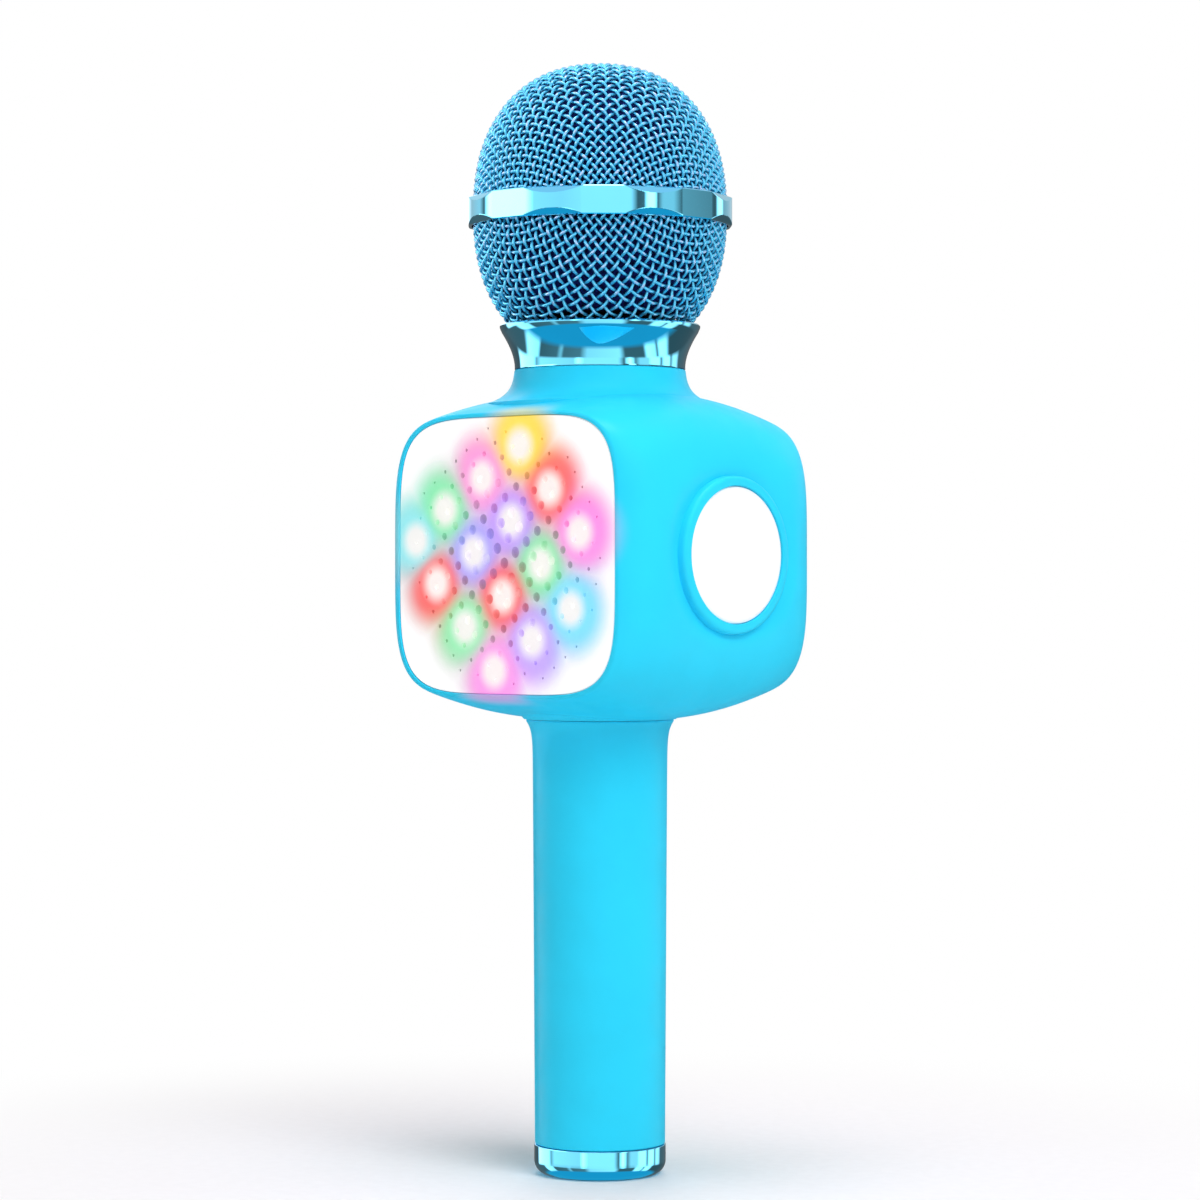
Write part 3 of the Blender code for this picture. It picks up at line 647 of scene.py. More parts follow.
def circuit_board():
    """Solder mask over copper tracks, with small plated pads."""
    look = Look("circuit_board", Specular_IOR_Level=0.5, Coat_Weight=0.2, Coat_Roughness=0.15)
    tracks = look.add("TexBrick", {"Vector": look.place, "Scale": 140.0, "Mortar Size": 0.03}).outputs["Fac"]
    pads = look.math("LESS_THAN", look.cells(2.6), 0.13)
    mask = look.mix(tracks, rgb(14, 84, 48), rgb(34, 128, 74))
    look.set("Base Color", look.mix(pads, mask, rgb(214, 190, 120)))
    look.set("Metallic", look.math("MULTIPLY", pads, 0.9))
    look.set("Roughness", look.patches(2.0, 0.3, 0.45))
    look.bump(look.math("ADD", tracks, pads), 0.4, 0.05)
    return look.material


def speaker_cone():
    """Pressed paper: fibres and faint rings round the centre."""
    look = Look("speaker_cone", Specular_IOR_Level=0.2)
    centred = look.add("VectorMath", {0: look.place, 1: (0, 0, -BODY_CENTRE * MM)}, operation="ADD")
    inputs = {"Vector": centred.outputs[0], "Scale": 120.0, "Distortion": 0.4}
    rings = look.add("TexWave", inputs, wave_type="RINGS", rings_direction="Y").outputs["Fac"]
    fibres = look.noise(0.4, 5.0)
    look.set("Base Color", look.mix(fibres, rgb(38, 38, 42), rgb(70, 70, 74)))
    look.set("Roughness", look.fit(fibres, 0.3, 0.7, 0.75, 0.95))
    look.bump(look.math("ADD", rings, fibres), 0.4, 0.1)
    return look.material


def make_looks():
    dark = rgb(34, 36, 40)
    return {
        "body": body_plastic(),
        "wire": grille_wire(),
        "plated": plated_cyan(),
        "panel": panel_white(),
        "badge": badge_white(),
        "foam": foam_navy(),
        "board": circuit_board(),
        "cone": speaker_cone(),
        "dark": grained("dark_plastic", dark, 0.08, 0.4, (0.42, 0.6), 0.04),
        "symbol": grained("symbol_ink", rgb(92, 104, 112), 0.04, 0.3, (0.45, 0.6), 0.01),
        "cell": grained("cell_wrap", rgb(36, 108, 190), 0.05, 1.2, (0.25, 0.4), 0.03, Coat_Weight=0.3),
        "rubber": grained("mount_rubber", rgb(30, 30, 32), 0.1, 0.5, (0.75, 0.95), 0.06),
        "steel": brushed("steel", rgb(196, 198, 204), (0.22, 0.4), (1.0, 1.0, 9.0)),
        "brass": brushed("contact_brass", rgb(218, 182, 104), (0.2, 0.38), (1.0, 9.0, 1.0)),
    }


# ------------ head


def head_profile(inset):
    """Arc length, radius and height above the centre from the pole to the band, drawn inset."""
    turn = np.linspace(0, math.pi / 2, 4001)
    radius = (HEAD_RADIUS - inset) * np.sin(turn) ** (2 / HEAD_CURVE)
    height = (HEAD_HALF_HEIGHT - inset) * np.cos(turn) ** (2 / HEAD_CURVE)
    steps = np.hypot(np.diff(radius), np.diff(height))
    return np.concatenate([[0], np.cumsum(steps)]), radius, height


def woven(half, coarsening, nearest, furthest):
    """(points, faces, crest) of one half of the head as two sets of crimped wires.

    The wires run along X and Y as seen from above, on a lattice that is drawn over the head: a
    point n diagonals from the pole lies on the same meridian, at the arc length where n wires
    have been crossed. half is 1 for the dome and -1 for the bowl. The wires run between nearest and
    furthest, two heights from the head's centre. crest is 1 on top of a crossing and 0 under one.
    """
    length, radius, height = head_profile(WIRE_RADIUS + WIRE_CRIMP)
    diagonals = length / POLE_DIAGONAL + TIGHTENING * (length / TIGHTENING_REACH) ** TIGHTENING_POWER
    diagonals /= coarsening
    slope_out, slope_up = np.gradient(radius, length), np.gradient(height, length)
    count = int(diagonals[-1] * math.sqrt(2)) + 1
    along = np.arange(-count * WIRE_STEPS, count * WIRE_STEPS + 1) / WIRE_STEPS
    side_angles = np.arange(WIRE_SIDES) * math.tau / WIRE_SIDES
    points, faces, crests = [], [], []
    start = 0
    for direction in (0, 1):
        for line in range(-count, count + 1):
            u = along if direction == 0 else np.full_like(along, line)
            v = np.full_like(along, line) if direction == 0 else along
            reach = np.hypot(u, v) / math.sqrt(2)
            r = np.interp(reach, diagonals, radius)
            h = np.interp(reach, diagonals, height)
            inside = (reach < diagonals[-1]) & (h > nearest) & (h < furthest)
            azimuth = np.arctan2(v, u)
            lean = np.interp(reach, diagonals, slope_out), np.interp(reach, diagonals, slope_up)
            outward = np.stack(
                [-lean[1] * np.cos(azimuth), -lean[1] * np.sin(azimuth), half * lean[0]], axis=1
            )
            outward /= np.linalg.norm(outward, axis=1)[:, None]
            over = np.cos(math.pi * (along + line)) * (1 if direction == 0 else -1)
            centre = np.stack([r * np.cos(azimuth), r * np.sin(azimuth), half * h], axis=1)
            centre += outward * (WIRE_CRIMP * over)[:, None]
            breaks = np.flatnonzero(np.diff(inside.astype(int))) + 1
            for run in np.split(np.arange(len(along)), breaks):
                if len(run) < 3 or not inside[run[0]]:
                    continue
                line_points = centre[run]
                tangent = np.gradient(line_points, axis=0)
                tangent /= np.linalg.norm(tangent, axis=1)[:, None]
                side = np.cross(tangent, outward[run])
                side /= np.linalg.norm(side, axis=1)[:, None]
                lift = np.cross(side, tangent)
                for angle in side_angles:
                    offset = math.cos(angle) * lift + math.sin(angle) * side
                    points.append(line_points + WIRE_RADIUS * offset)
                    crests.append(0.5 + 0.25 * over[run] + 0.25 * math.cos(angle))
                rows = len(run)
                for k in range(WIRE_SIDES):
                    a = start + k * rows
                    b = start + (k + 1) % WIRE_SIDES * rows
                    faces += [[b + j, b + j + 1, a + j + 1, a + j] for j in range(rows - 1)]
                ends = [start + k * rows for k in range(WIRE_SIDES)]
                faces.append(ends)
                faces.append([end + rows - 1 for end in reversed(ends)])
                start += WIRE_SIDES * rows
    points = np.concatenate(points)
    points[:, 2] += HEAD_CENTRE
    return points, faces, np.concatenate(crests)


def make_weave(name, node, half, coarsening, furthest, looks):
    points, faces, crest = woven(half, coarsening, WEAVE_EDGE, furthest)
    piece = new_piece(name, points, faces, looks["wire"], slot="grille_wire", replaces=[node], angle=math.pi)
    attribute = piece.data.attributes.new("crest", "FLOAT", "POINT")
    attribute.data.foreach_set("value", crest.astype(np.float32))


def make_band(looks):
    """Plated ring: a cylinder cut by eight flats, with a lens-shaped facet over and under each corner.

    The flats are crowned by a hair, so that what they mirror is drawn out across them.
    """
    count = 960
    sector = math.tau / BAND_FACETS
    angles = np.arange(count) * math.tau / count
    from_flat = (angles + sector / 2) % sector - sector / 2
    from_corner = angles % sector - sector / 2
    flat_edge = math.acos(FLAT_DISTANCE / BAND_RADIUS)
    crown = FLAT_CROWN * (1 - np.minimum(np.abs(from_flat) / flat_edge, 1.0) ** 2)
    flat = FLAT_DISTANCE / np.cos(from_flat) + crown
    heights = np.linspace(-BAND_HALF_HEIGHT, BAND_HALF_HEIGHT, 64)
    rings = []
    for h in heights:
        past_lens = max(0.0, abs(h) - (BAND_HALF_HEIGHT - LENS_HEIGHT)) / LENS_HEIGHT
        lens = (BAND_RADIUS - LENS_DEPTH * past_lens) / np.cos(from_corner)
        edge = max(0.0, abs(h) - (BAND_HALF_HEIGHT - 0.2))
        radius = np.minimum(np.minimum(flat, lens), BAND_RADIUS) - edge
        rings.append(UPRIGHT(radius, angles, HEAD_CENTRE + h))
    for h in (BAND_HALF_HEIGHT, -BAND_HALF_HEIGHT):
        rings.append(UPRIGHT(BAND_BORE, angles, HEAD_CENTRE + h))
    shape = skin(rings, closed=True)
    look = looks["plated"]
    new_piece("band_ring", *shape, look, slot="plated_cyan", replaces=["grille_band"], angle=FACET_ANGLE)


def make_foam(looks):
    """Foam core that shows through the weave, pressed out a little between the wires."""
    inset = dome_high.z - foam_high.z - FOAM_GAP
    rings = []
    count = 120
    angles = np.arange(count) * math.tau / count
    for z in np.linspace(foam_high.z + FOAM_GAP - 0.01, foam_low.z, 60):
        share = min(abs(z - HEAD_CENTRE) / (HEAD_HALF_HEIGHT - inset), 1.0)
        radius = (HEAD_RADIUS - inset) * (1 - share**HEAD_CURVE) ** (1 / HEAD_CURVE)
        ripple = 0.12 * np.sin(23 * angles + z) * np.sin(1.7 * z + 5 * angles)
        rings.append(UPRIGHT(radius + ripple, angles, z))
    rings.append(UPRIGHT(FOAM_BORE, angles, foam_low.z))
    rings.append(UPRIGHT(FOAM_BORE, angles, FOAM_BORE_TOP))
    foam = new_piece("foam_core", *skin(rings), looks["foam"], slot="foam_navy", replaces=["foam_filter"])


def make_collar(looks):
    """Plated flare under the head, drawn as a smooth curve through its CAD profile."""
    low = NECK_TOP + SEAM
    outside = ((19.15, low), (19.17, 181.2), (19.45, 182.6), (20.0, 184.4), (20.9, 186.3), (22.0, 188.2))
    heights = np.array([z for _, z in outside])
    radii = np.array([r for r, _ in outside])
    fit = np.polyfit(heights - low, radii, 4)
    curve = [(float(np.polyval(fit, z - low)), float(z)) for z in np.linspace(low, 188.2, 40)]
    lip = [(22.5, 189.35), (22.5, 189.7), (22.25, collar_high.z), (21.5, collar_high.z), (21.2, 189.6)]
    inside = [(20.9, 188.6), (19.3, 185.8), (18.7, 182.0), (14.6, 182.0), (14.6, 173.0), (16.2, 173.0)]
    profile = curve + lip + inside + [(16.2, low)]
    shape = turned(profile, closed=True)
    new_piece("collar_flare", *shape, looks["plated"], slot="plated_cyan", replaces=["neck_collar"])


# ------------ body


def softened(shape):
    """Sinks the two sides of the shell into a shallow cone round each boss, with a soft edge."""
    points, faces = shape
    away = np.hypot(points[:, 1], points[:, 2] - BODY_CENTRE)
    cone = MOAT_HEIGHT + MOAT_SLOPE * (away - BOSS_LIP_RADIUS)
    side = np.abs(points[:, 0])
    lower = (side + cone - np.sqrt((side - cone) ** 2 + MOAT_BLEND**2)) / 2
    near = (side > BODY_HALF_WIDTH - WALL * 0.8) & (away < MOAT_REACH)
    points[:, 0] = np.where(near, np.sign(points[:, 0]) * lower, points[:, 0])
    return points, faces


def make_housing(looks):
    """Housing shell with its two panel seats, its two round bosses, its neck and the handle's socket."""
    count = 288
    edge = BODY_HALF_DEPTH - RIM_ROUND
    depths = edge * np.sin(np.linspace(-math.pi / 2, math.pi / 2, 73))
    arc = np.linspace(0, math.pi / 2, 6)
    seat = PANEL_FACE - PANEL_THICKNESS - 0.3
    seat_back = seat - 1.4
    ledge = RIM + SEAT_WIDTH
    rear = []
    for turn in arc[1:]:
        y = edge + RIM_ROUND * math.sin(turn)
        rear.append(body_section(y, RIM_ROUND * (1 - math.cos(turn)), count))
    rear.append(frame_section(BODY_HALF_DEPTH, RIM - 0.1, count))
    rear.append(frame_section(BODY_HALF_DEPTH - 0.1, RIM, count))
    rear.append(frame_section(seat, RIM, count))
    rear.append(frame_section(seat, ledge, count))
    rear.append(frame_section(seat_back, ledge, count))
    front = [ring * np.array((1.0, -1.0, 1.0)) for ring in reversed(rear)]
    outer = [body_section(y, 0.0, count) for y in depths]
    inner = [body_section(y, WALL, count) for y in seat_back * np.array((1.0, 0.65, 0.0, -0.65, -1.0))]
    shape = softened(skin(outer + rear + inner + front, closed=True))
    look = looks["body"]
    housing = new_piece("housing_shell", *shape, look, slot="body_plastic", replaces=["body_housing"])
    overlap = 1.2
    openings = [
        turned(drum(NECK_RADIUS - overlap, 165.0, 185.0), 96),
        turned(drum(SOCKET_RADIUS - overlap, 95.0, 112.0), 96),
    ]
    boss = rounded(
        [
            (BOSS_LIP_RADIUS + 0.25, BOSS_ROOT, 0),
            (BOSS_LIP_RADIUS, BOSS_FACE, 1.1),
            (DISC_RADIUS + SEAM, BOSS_FACE, 0.2),
            (DISC_RADIUS + SEAM, DISC_SEAT, 0),
            (DISC_RADIUS - 1.2, DISC_SEAT, 0),
            (DISC_RADIUS - 1.2, BOSS_ROOT, 0),
        ]
    )
    additions = []
    for side in (1, -1):
        hole = drum(BOSS_LIP_RADIUS - overlap, 30.0, 45.0)
        openings.append(turned([(r, side * x) for r, x in hole], 96, SIDEWAYS))
        additions.append(turned([(r, side * x) for r, x in boss], 144, SIDEWAYS, closed=True))
    neck = [(neck_radius(z), z) for z in np.linspace(NECK_TOP - 0.2, NECK_FOOT, 24)]
    neck = [(neck_radius(NECK_TOP) - 0.25, NECK_TOP), *neck, (neck[-1][0], NECK_ROOT)]
    neck += [(NECK_BORE, NECK_ROOT), (NECK_BORE, NECK_TOP)]
    additions.append(turned(neck, 144, closed=True))
    socket = [
        (SOCKET_RADIUS - 0.2, SOCKET_BOTTOM),
        (SOCKET_RADIUS + 0.05, SOCKET_BOTTOM + 0.25),
        (SOCKET_RADIUS + 1.3, SOCKET_BOTTOM + 1.9),
        (SOCKET_RADIUS + 1.3, SOCKET_TOP),
        (SPIGOT_RADIUS + 0.3, SOCKET_TOP),
        (SPIGOT_RADIUS + 0.3, SOCKET_BOTTOM),
    ]
    additions.append(turned(socket, 144, closed=True))
    combine(housing, merged(openings), "DIFFERENCE")
    combine(housing, merged(additions), "UNION")


def make_panel(side, word, looks):
    """Diffuser with its sound holes, which shrink towards the edge. side is -1 at the front."""
    count = 200
    face = side * PANEL_FACE
    inset = RIM + SEAM
    rings = []
    for turn in np.linspace(math.pi / 2, 0, 6):
        y = face - side * 0.4 * (1 - math.sin(turn))
        rings.append(frame_section(y, inset + 0.4 * (1 - math.cos(turn)), count))
    rings.append(frame_section(face - side * PANEL_THICKNESS, inset, count))
    panel = new_piece(
        f"{word}_diffuser", *skin(rings), looks["panel"], slot="panel_white", replaces=[f"{word}_panel"]
    )
    drills = []
    for i in range(-12, 13):
        for j in range(-12, 13):
            x = HOLE_START[0] + i * HOLE_STEP_I[0] + j * HOLE_STEP_J[0]
            z = HOLE_START[1] + i * HOLE_STEP_I[1] + j * HOLE_STEP_J[1]
            away = math.hypot(x, z)
            if away < HOLE_FIELD:
                radius = max(SMALLEST_HOLE, HOLE_RADIUS * (1 - (away / HOLE_SHRINK) ** HOLE_SHRINK_POWER))
                drill = [(0, face + side), (radius, face + side), (radius, face - side * HOLE_DEPTH)]
                drill.append((0, face - side * (HOLE_DEPTH + 0.3 * radius)))
                drills.append(turned(drill, 20, on_axis("Y", -side * x, BODY_CENTRE + z)))
    combine(panel, merged(drills), "DIFFERENCE")


def make_badge(looks):
    """Plain white disc in the right boss, very slightly crowned."""
    low = badge_low.x
    crown = [(DISC_RADIUS * share, DISC_FACE - 0.12 * share**2) for share in (0.93, 0.75, 0.5, 0.25, 0.0)]
    profile = [(0, low), (DISC_RADIUS, low), (DISC_RADIUS, DISC_FACE - 0.6)]
    profile += [(DISC_RADIUS - 0.1, DISC_FACE - 0.35), (DISC_RADIUS - 0.35, DISC_FACE - 0.18), *crown]
    shape = turned(profile, place=SIDEWAYS)
    new_piece("badge_disc", *shape, looks["badge"], slot="badge_white", replaces=["side_badge"])


def bar(centre, size, x_low, x_high):
    """A thin block on the key side: centre and size in y and z."""
    (y, z), (wide, tall) = centre, size
    corners = [(-wide / 2, -tall / 2), (wide / 2, -tall / 2), (wide / 2, tall / 2), (-wide / 2, tall / 2)]
    return [[(x, y + a, BODY_CENTRE + z + b) for a, b in corners] for x in (x_low, x_high)]


def arrow(centre, size, towards, x_low, x_high):
    """A thin triangle on the key side that points along Y, to + or -."""
    y, z = centre
    tip = towards * size / 2
    corners = [(-tip, -size * 0.6), (tip, 0.0), (-tip, size * 0.6)]
    return [[(x, y + a, BODY_CENTRE + z + b) for a, b in corners] for x in (x_low, x_high)]


def symbol_shapes(kind, y, z, size, face):
    """The rings of a key's symbol. Seen from the left side, next points to -Y."""
    low, high = face + 0.1, face - 0.03
    shapes = []
    if kind in ("plus", "minus"):
        shapes.append(bar((y, z), (size, size * 0.24), low, high))
    if kind == "plus":
        shapes.append(bar((y, z), (size * 0.24, size), low, high + 0.004))
    elif kind == "play":
        shapes.append(arrow((y + size * 0.28, z), size * 0.72, -1, low, high))
        for k in (0.34, 0.66):
            shapes.append(bar((y - size * k, z), (size * 0.16, size * 0.8), low, high))
    elif kind in ("next", "previous"):
        towards = -1 if kind == "next" else 1
        for k in (0.36, -0.06):
            shapes.append(arrow((y - towards * size * k, z), size * 0.48, towards, low, high))
        shapes.append(bar((y + towards * size * 0.42, z), (size * 0.14, size * 0.6), low, high))
    return merged([skin(rings) for rings in shapes])


def make_controls(looks):
    """Control plate with five sprung keys, each with a plain printed symbol."""
    face = plate_low.x
    back = plate_high.x
    profile = [(0, back), (DISC_RADIUS, back), (DISC_RADIUS, face + 0.5)]
    profile += [(DISC_RADIUS - 0.15, face + 0.15), (DISC_RADIUS - 0.5, face), (0, face)]
    shape = turned(profile, place=SIDEWAYS)
    plate = new_piece("key_plate", *shape, looks["badge"], slot="badge_white", replaces=["control_plate"])
    holes = []
    for y, z, radius, _ in KEYS.values():
        place = on_axis("X", y, BODY_CENTRE + z)
        holes.append(turned(drum(radius + KEY_CLEARANCE, back + 2.0, face - 2.0), 64, place))
    combine(plate, merged(holes), "DIFFERENCE")
    for name, (y, z, radius, kind) in KEYS.items():
        low, high = cad_box(name)
        flange = high.x - KEY_FLANGE
        top = low.x
        dish = [(radius * k, top + KEY_DISH * (1 - (k / 0.85) ** 2)) for k in (0.85, 0.6, 0.3, 0.0)]
        profile = [(0, high.x), (radius + 0.6, high.x), (radius + 0.6, flange), (radius, flange)]
        profile += [(radius, top + 0.5), (radius - 0.1, top + 0.2), (radius - 0.3, top + 0.04), *dish]
        place = on_axis("X", y, BODY_CENTRE + z)
        body = f"{name}_body"
        key = f"{name}_cap"
        new_piece(key, *turned(profile, 72, place), looks["badge"], body, "badge_white", [name])
        shape = symbol_shapes(kind, y, z, radius * 0.84, top + 0.05)
        new_piece(f"{name}_symbol", *shape, looks["symbol"], body)


# ------------ handle and foot


def make_handle(looks):
    """Grip tube with its flared top and the spigot that goes up into the housing."""
    low = RING_TOP + SEAM
    high = SOCKET_BOTTOM - SEAM
    profile = [(HANDLE_BORE, low), (handle_radius(low) - 0.25, low), (handle_radius(low), low + 0.25)]
    profile += [(handle_radius(z), z) for z in np.linspace(low + 1.0, HANDLE_STRAIGHT_TOP, 30)]
    profile += [(handle_radius(z), z) for z in np.linspace(HANDLE_STRAIGHT_TOP + 0.5, HANDLE_TOP, 24)]
    profile += [(handle_radius(HANDLE_TOP) - 0.05, high)]
    profile += [(SPIGOT_RADIUS, high), (SPIGOT_RADIUS, handle_high.z)]
    spigot_bore = SPIGOT_RADIUS - 2.0
    profile += [(spigot_bore, handle_high.z), (spigot_bore, 101.4), (HANDLE_BORE, 97.4)]
    shape = turned(profile, closed=True)
    new_piece("grip_tube", *shape, looks["body"], slot="body_plastic", replaces=["handle_tube"])


def make_foot(looks):
    """Plated end ring, and the end cap with its ports and crosshead screws."""
    radius = ring_high.y
    ring = rounded(
        [
            (11.8, 0.0, 0.2),
            (12.9, 0.0, 0.3),
            (14.1, 0.8, 0.7),
            (radius, 2.2, 0.7),
            (radius, RING_TOP, 0.2),
            (12.1, RING_TOP, 0),
            (12.1, ring_high.z, 0),
            (11.6, ring_high.z, 0),
            (11.6, 4.0, 0),
            (11.8, 4.0, 0),
        ]
    )
    shape = turned(ring, closed=True)
    new_piece("foot_ring", *shape, looks["plated"], slot="plated_cyan", replaces=["end_ring"])
    cap_radius = cap_high.y
    cap = rounded([(0, cap_high.z, 0), (cap_radius, cap_high.z, 0), (cap_radius, 0.0, 0.4), (0, 0.0, 0)])
    shape = turned(cap, 144)
    piece = new_piece("foot_cap", *shape, looks["dark"], slot="dark_plastic", replaces=["end_cap"])
    cuts = [
        slot_shape(CHARGE_PLACE, 9.2, 3.4, 1.6),
        slot_shape(CARD_PLACE, 11.4, 1.6, 0.3),
        turned(drum(1.85, -2.0, 4.0), 40, on_axis("Z", *AUDIO_PLACE)),
    ]
    for place in END_SCREW_PLACES:
        stepped = [(0, -1.0), (1.6, -1.0), (1.6, 1.1), (0.95, 1.1), (0.95, 4.0), (0, 4.0)]
        cuts.append(turned(stepped, 32, on_axis("Z", *place)))
    combine(piece, merged(cuts), "DIFFERENCE")
    for number, place in enumerate(END_SCREW_PLACES, 1):
        head = [(0, 0.2), (1.1, 0.2), (1.3, 0.35), (1.3, 0.7), (0.65, 0.75), (0.65, 8.0), (0, 8.0)]
        node = f"end_cap_screw_{number}"
        shape = turned(head, 40, on_axis("Z", *place))
        screw = new_piece(f"foot_screw_{number}", *shape, looks["steel"], slot="steel", replaces=[node])
        for size in ((1.5, 0.36), (0.36, 1.5)):
            combine(screw, slot_shape(place, *size, 0.0, 0.45), "DIFFERENCE")


def slot_shape(place, wide, deep, corner, high=5.0):
    """A cutter from under the foot up to a height: a rectangle with rounded ends."""
    x, y = wide / 2, deep / 2
    outline = rounded([(x, y, corner), (-x, y, corner), (-x, -y, corner), (x, -y, corner)])
    rings = [[(place[0] + a, place[1] + b, z) for a, b in outline] for z in (-1.0, high)]
    return skin(rings)


def dress_cad_nodes(looks):
    """Gives each CAD node that stays its material."""
    kinds = (
        ("board", "board"),
        ("speaker_frame", "dark"),
        ("speaker_cone", "cone"),
        ("battery_cell", "cell"),
        ("battery_sleeve", "dark"),
        ("battery_contact", "brass"),
        ("capsule_mount", "rubber"),
        ("audio_socket", "dark"),
    )
    for name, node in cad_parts.items():
        look = next((looks[kind] for word, kind in kinds if word in name), looks["steel"])
        for slot in node.material_slots:
            slot.material = look


# ------------ room


def make_camera():
    data = bpy.data.cameras.new("camera")
    data.lens = CAMERA_LENS
    data.clip_start = 0.05
    data.clip_end = 20.0
    camera = bpy.data.objects.new("camera", data)
    out = Vector((math.sin(CAMERA_AZIMUTH), -math.cos(CAMERA_AZIMUTH), 0.0))
    camera.location = out * CAMERA_DISTANCE * MM + Vector((0, 0, CAMERA_HEIGHT * MM))
    camera.rotation_euler = (math.pi / 2, 0.0, CAMERA_AZIMUTH)
    bpy.context.scene.collection.objects.link(camera)
    bpy.context.scene.camera = camera


def make_light(name, azimuth, elevation, distance, size, power, colour=(1.0, 1.0, 1.0), shine=False):
    """A round soft light aimed at the middle of the microphone. Only one that shines shows in mirrors."""
    data = bpy.data.lights.new(name, "AREA")
    data.shape = "DISK"
    data.size = size
    data.energy = power
    data.color = colour
    light = bpy.data.objects.new(name, data)
    turn, rise = math.radians(azimuth), math.radians(elevation)
    out = Vector((math.sin(turn) * math.cos(rise), -math.cos(turn) * math.cos(rise), math.sin(rise)))
    light.location = out * distance + Vector((0, 0, CAMERA_HEIGHT * MM))
    light.rotation_mode = "QUATERNION"
    light.rotation_quaternion = out.to_track_quat("Z", "Y")
    light.visible_camera = False
    light.visible_glossy = shine
    bpy.context.scene.collection.objects.link(light)


# What mirrors see: azimuth in degrees and brightness of the walls, above, at and below eye level
HIGH_BANDS = (
    (-180, 0.1), (-158, 0.13), (-146, 0.08), (-120, 0.3), (-104, 0.12), (-84, 0.16), (-76, 0.02),
    (-68, 0.75), (-24, 0.75), (-16, 0.22), (10, 0.2), (36, 0.235), (70, 0.235), (76, 0.03), (82, 0.04),
    (85, 0.6), (91, 0.6), (94, 0.03), (99, 0.16), (110, 0.16), (118, 0.04), (132, 0.09), (150, 0.05),
    (163, 0.02), (168, 0.4), (174, 0.4), (178, 0.1),
)
EYE_BANDS = (
    (-180, 0.03), (-95, 0.02), (-89, 0.45), (-58, 0.4), (-52, 0.1), (-44, 0.24), (8, 0.2), (14, 0.5),
    (22, 0.24), (68, 0.24), (76, 0.03), (84, 0.6), (92, 0.05), (99, 0.2), (112, 0.2), (117, 0.4),
    (130, 0.4), (134, 0.03), (140, 0.4), (150, 0.4), (154, 0.05), (160, 0.3), (168, 0.25), (174, 0.03),
)
LOW_BANDS = (
    (-180, 0.02), (-74, 0.03), (-67, 0.4), (-50, 0.3), (-45, 0.03), (-18, 0.04), (-12, 0.15),
    (-8, 0.04), (16, 0.05), (26, 0.2), (70, 0.24), (78, 0.03), (106, 0.03), (112, 0.4), (124, 0.3),
    (128, 0.05), (133, 0.4), (143, 0.35), (150, 0.02),
)
CEILING = (0.17, 0.155, 0.175, 1.0)
UNDERNEATH = (0.008, 0.08, 0.115, 1.0)
MIRROR_STRENGTH = 6.0


def make_world():
    """Plain white to the camera, soft light on the object, and bright and dark walls in mirrors."""
    world = bpy.data.worlds.new("studio")
    world.use_nodes = True
    tree = world.node_tree
    tree.nodes.clear()

    add = partial(add_node, tree)

    def bands(share, levels):
        ramp = add("ValToRGB", {0: share})
        elements = ramp.color_ramp.elements
        while len(elements) < len(levels):
            elements.new(0.5)
        for element, (azimuth, brightness) in zip(elements, levels):
            element.position = (azimuth + 180) / 360
            element.color = (brightness, brightness, brightness, 1.0)
        return ramp.outputs[0]

    def blend(height, low, high, first, second):
        share = add("MapRange", {0: height, 1: low, 2: high, 3: 0.0, 4: 1.0}).outputs[0]
        return add("Mix", {0: share, 6: first, 7: second}, data_type="RGBA").outputs[2]

    direction = add("SeparateXYZ", {0: add("TexCoord").outputs["Generated"]}).outputs
    ahead = add("Math", {0: direction[1], 1: -1.0}, operation="MULTIPLY").outputs[0]
    turn = add("Math", {0: direction[0], 1: ahead}, operation="ARCTAN2").outputs[0]
    share = add("MapRange", {0: turn, 1: -math.pi, 2: math.pi, 3: 0.0, 4: 1.0}).outputs[0]
    room = blend(direction[2], -0.6, -0.5, UNDERNEATH, bands(share, LOW_BANDS))
    room = blend(direction[2], -0.24, -0.16, room, bands(share, EYE_BANDS))
    room = blend(direction[2], 0.082, 0.088, room, bands(share, HIGH_BANDS))
    room = blend(direction[2], 0.35, 0.75, room, CEILING)
    mirror = add("Background", {0: room, 1: MIRROR_STRENGTH}).outputs[0]
    soft = add("Background", {0: (1.0, 1.0, 1.0, 1.0), 1: 0.3}).outputs[0]
    plain = add("Background", {0: (1.0, 1.0, 1.0, 1.0), 1: 1.0}).outputs[0]
    rays = add("LightPath").outputs
    lit = add("MixShader", {0: rays["Is Glossy Ray"], 1: soft, 2: mirror}).outputs[0]
    shown = add("MixShader", {0: rays["Is Camera Ray"], 1: lit, 2: plain}).outputs[0]
    add("OutputWorld", {0: shown})
    bpy.context.scene.world = world


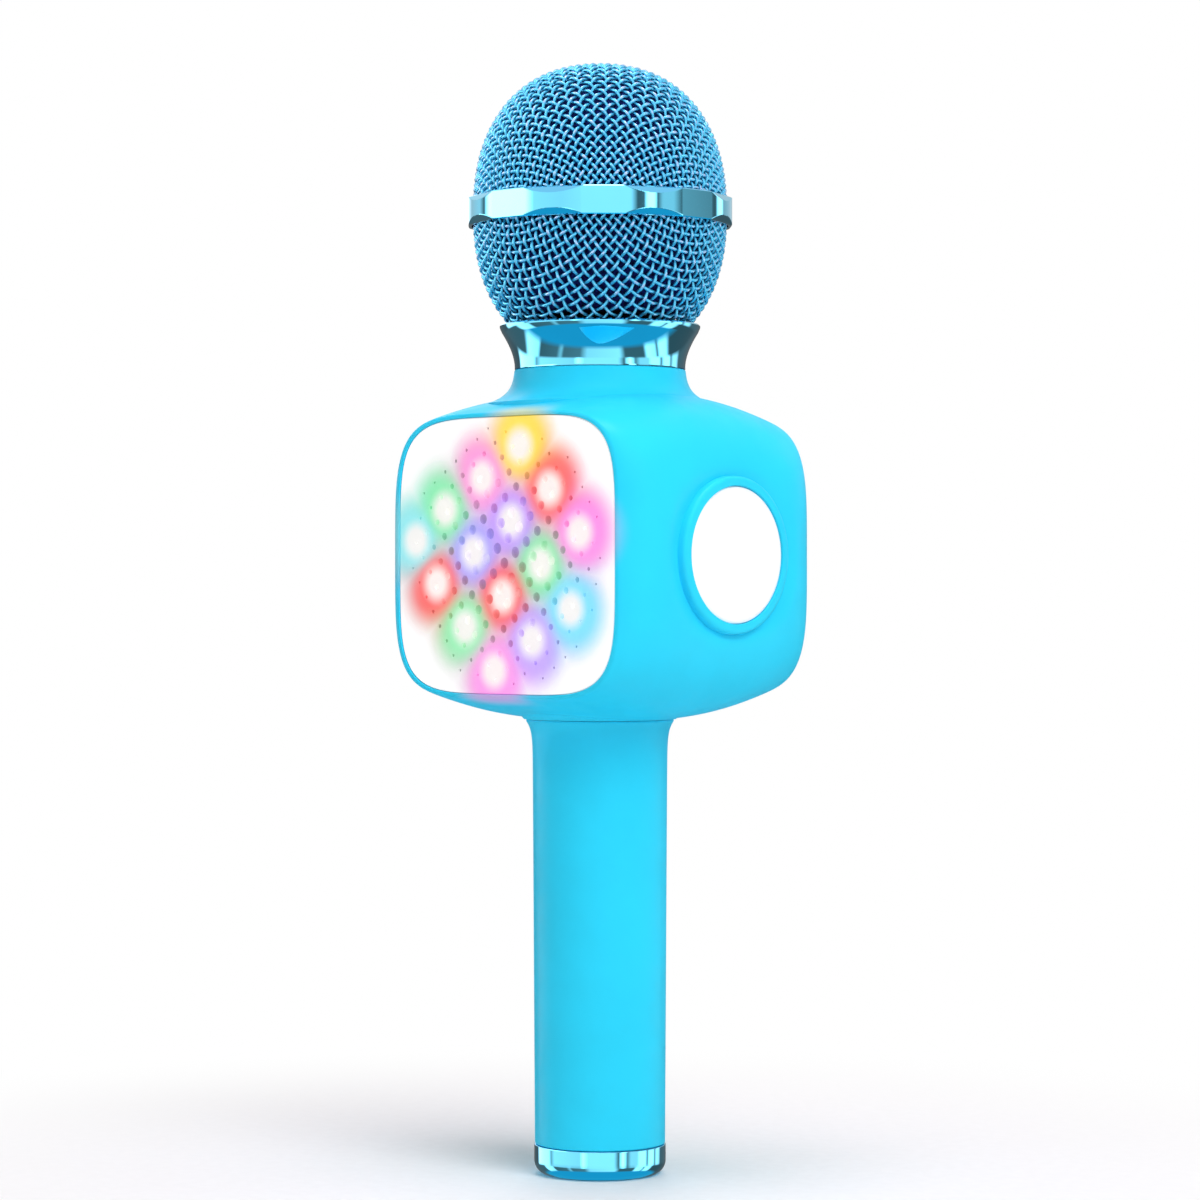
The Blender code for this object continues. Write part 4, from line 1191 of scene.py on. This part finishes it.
def make_floor():
    """A pale floor that turns to plain white away from the microphone."""
    angles = np.arange(96) * math.tau / 96
    profile = [(r, -0.2) for r in (0.0, 60.0, 200.0, 500.0, 1200.0, FLOOR_RADIUS)] + [(0.0, -40.0)]
    rings = [UPRIGHT(r, angles if r else angles[:1], z) for r, z in profile]
    points, faces = skin(rings)
    look = Look("floor_white", roughness=0.9, Specular_IOR_Level=0.1)
    away = look.add("VectorMath", {0: look.place}, operation="LENGTH").outputs["Value"]
    speckle = look.patches(3.0, 0.86, 0.88)
    look.set("Base Color", look.add("CombineColor", {0: speckle, 1: speckle, 2: speckle}).outputs[0])
    glow = look.add("Emission", {0: (1.0, 1.0, 1.0, 1.0), 1: 1.0}).outputs[0]
    far = look.fit(away, 0.04, 0.24, 0.0, 1.0)
    seen = look.math("MULTIPLY", far, look.add("LightPath").outputs["Is Camera Ray"])
    mixed = look.add("MixShader", {0: seen, 1: look.shader.outputs[0], 2: glow})
    output = look.tree.nodes["Material Output"]
    look.tree.links.new(mixed.outputs[0], output.inputs[0])
    floor = new_piece("floor", points, faces, look.material, body=None)
    floor.visible_glossy = False


def main():
    looks = make_looks()
    dress_cad_nodes(looks)
    make_weave("dome_weave", "upper_grille", 1, 1.0, HEAD_HALF_HEIGHT, looks)
    make_weave("bowl_weave", "lower_grille", -1, BOWL_COARSENING, HEAD_CENTRE - bowl_low.z, looks)
    make_band(looks)
    make_foam(looks)
    make_collar(looks)
    make_housing(looks)
    make_panel(-1, "front", looks)
    make_panel(1, "rear", looks)
    make_badge(looks)
    make_controls(looks)
    make_handle(looks)
    make_foot(looks)
    make_camera()
    make_world()
    make_floor()
    make_light("key", 72.0, 36.0, 1.1, 0.8, 7.8)
    make_light("fill", -20.0, 15.0, 1.2, 0.7, 1.0)
    make_light("back", 223.0, 25.0, 1.2, 0.8, 5.0)
    make_light("top", 43.0, 82.0, 1.0, 0.5, 4.2, (1.0, 0.86, 0.95), shine=True)
    bpy.context.scene.view_settings.view_transform = "Standard"


main()
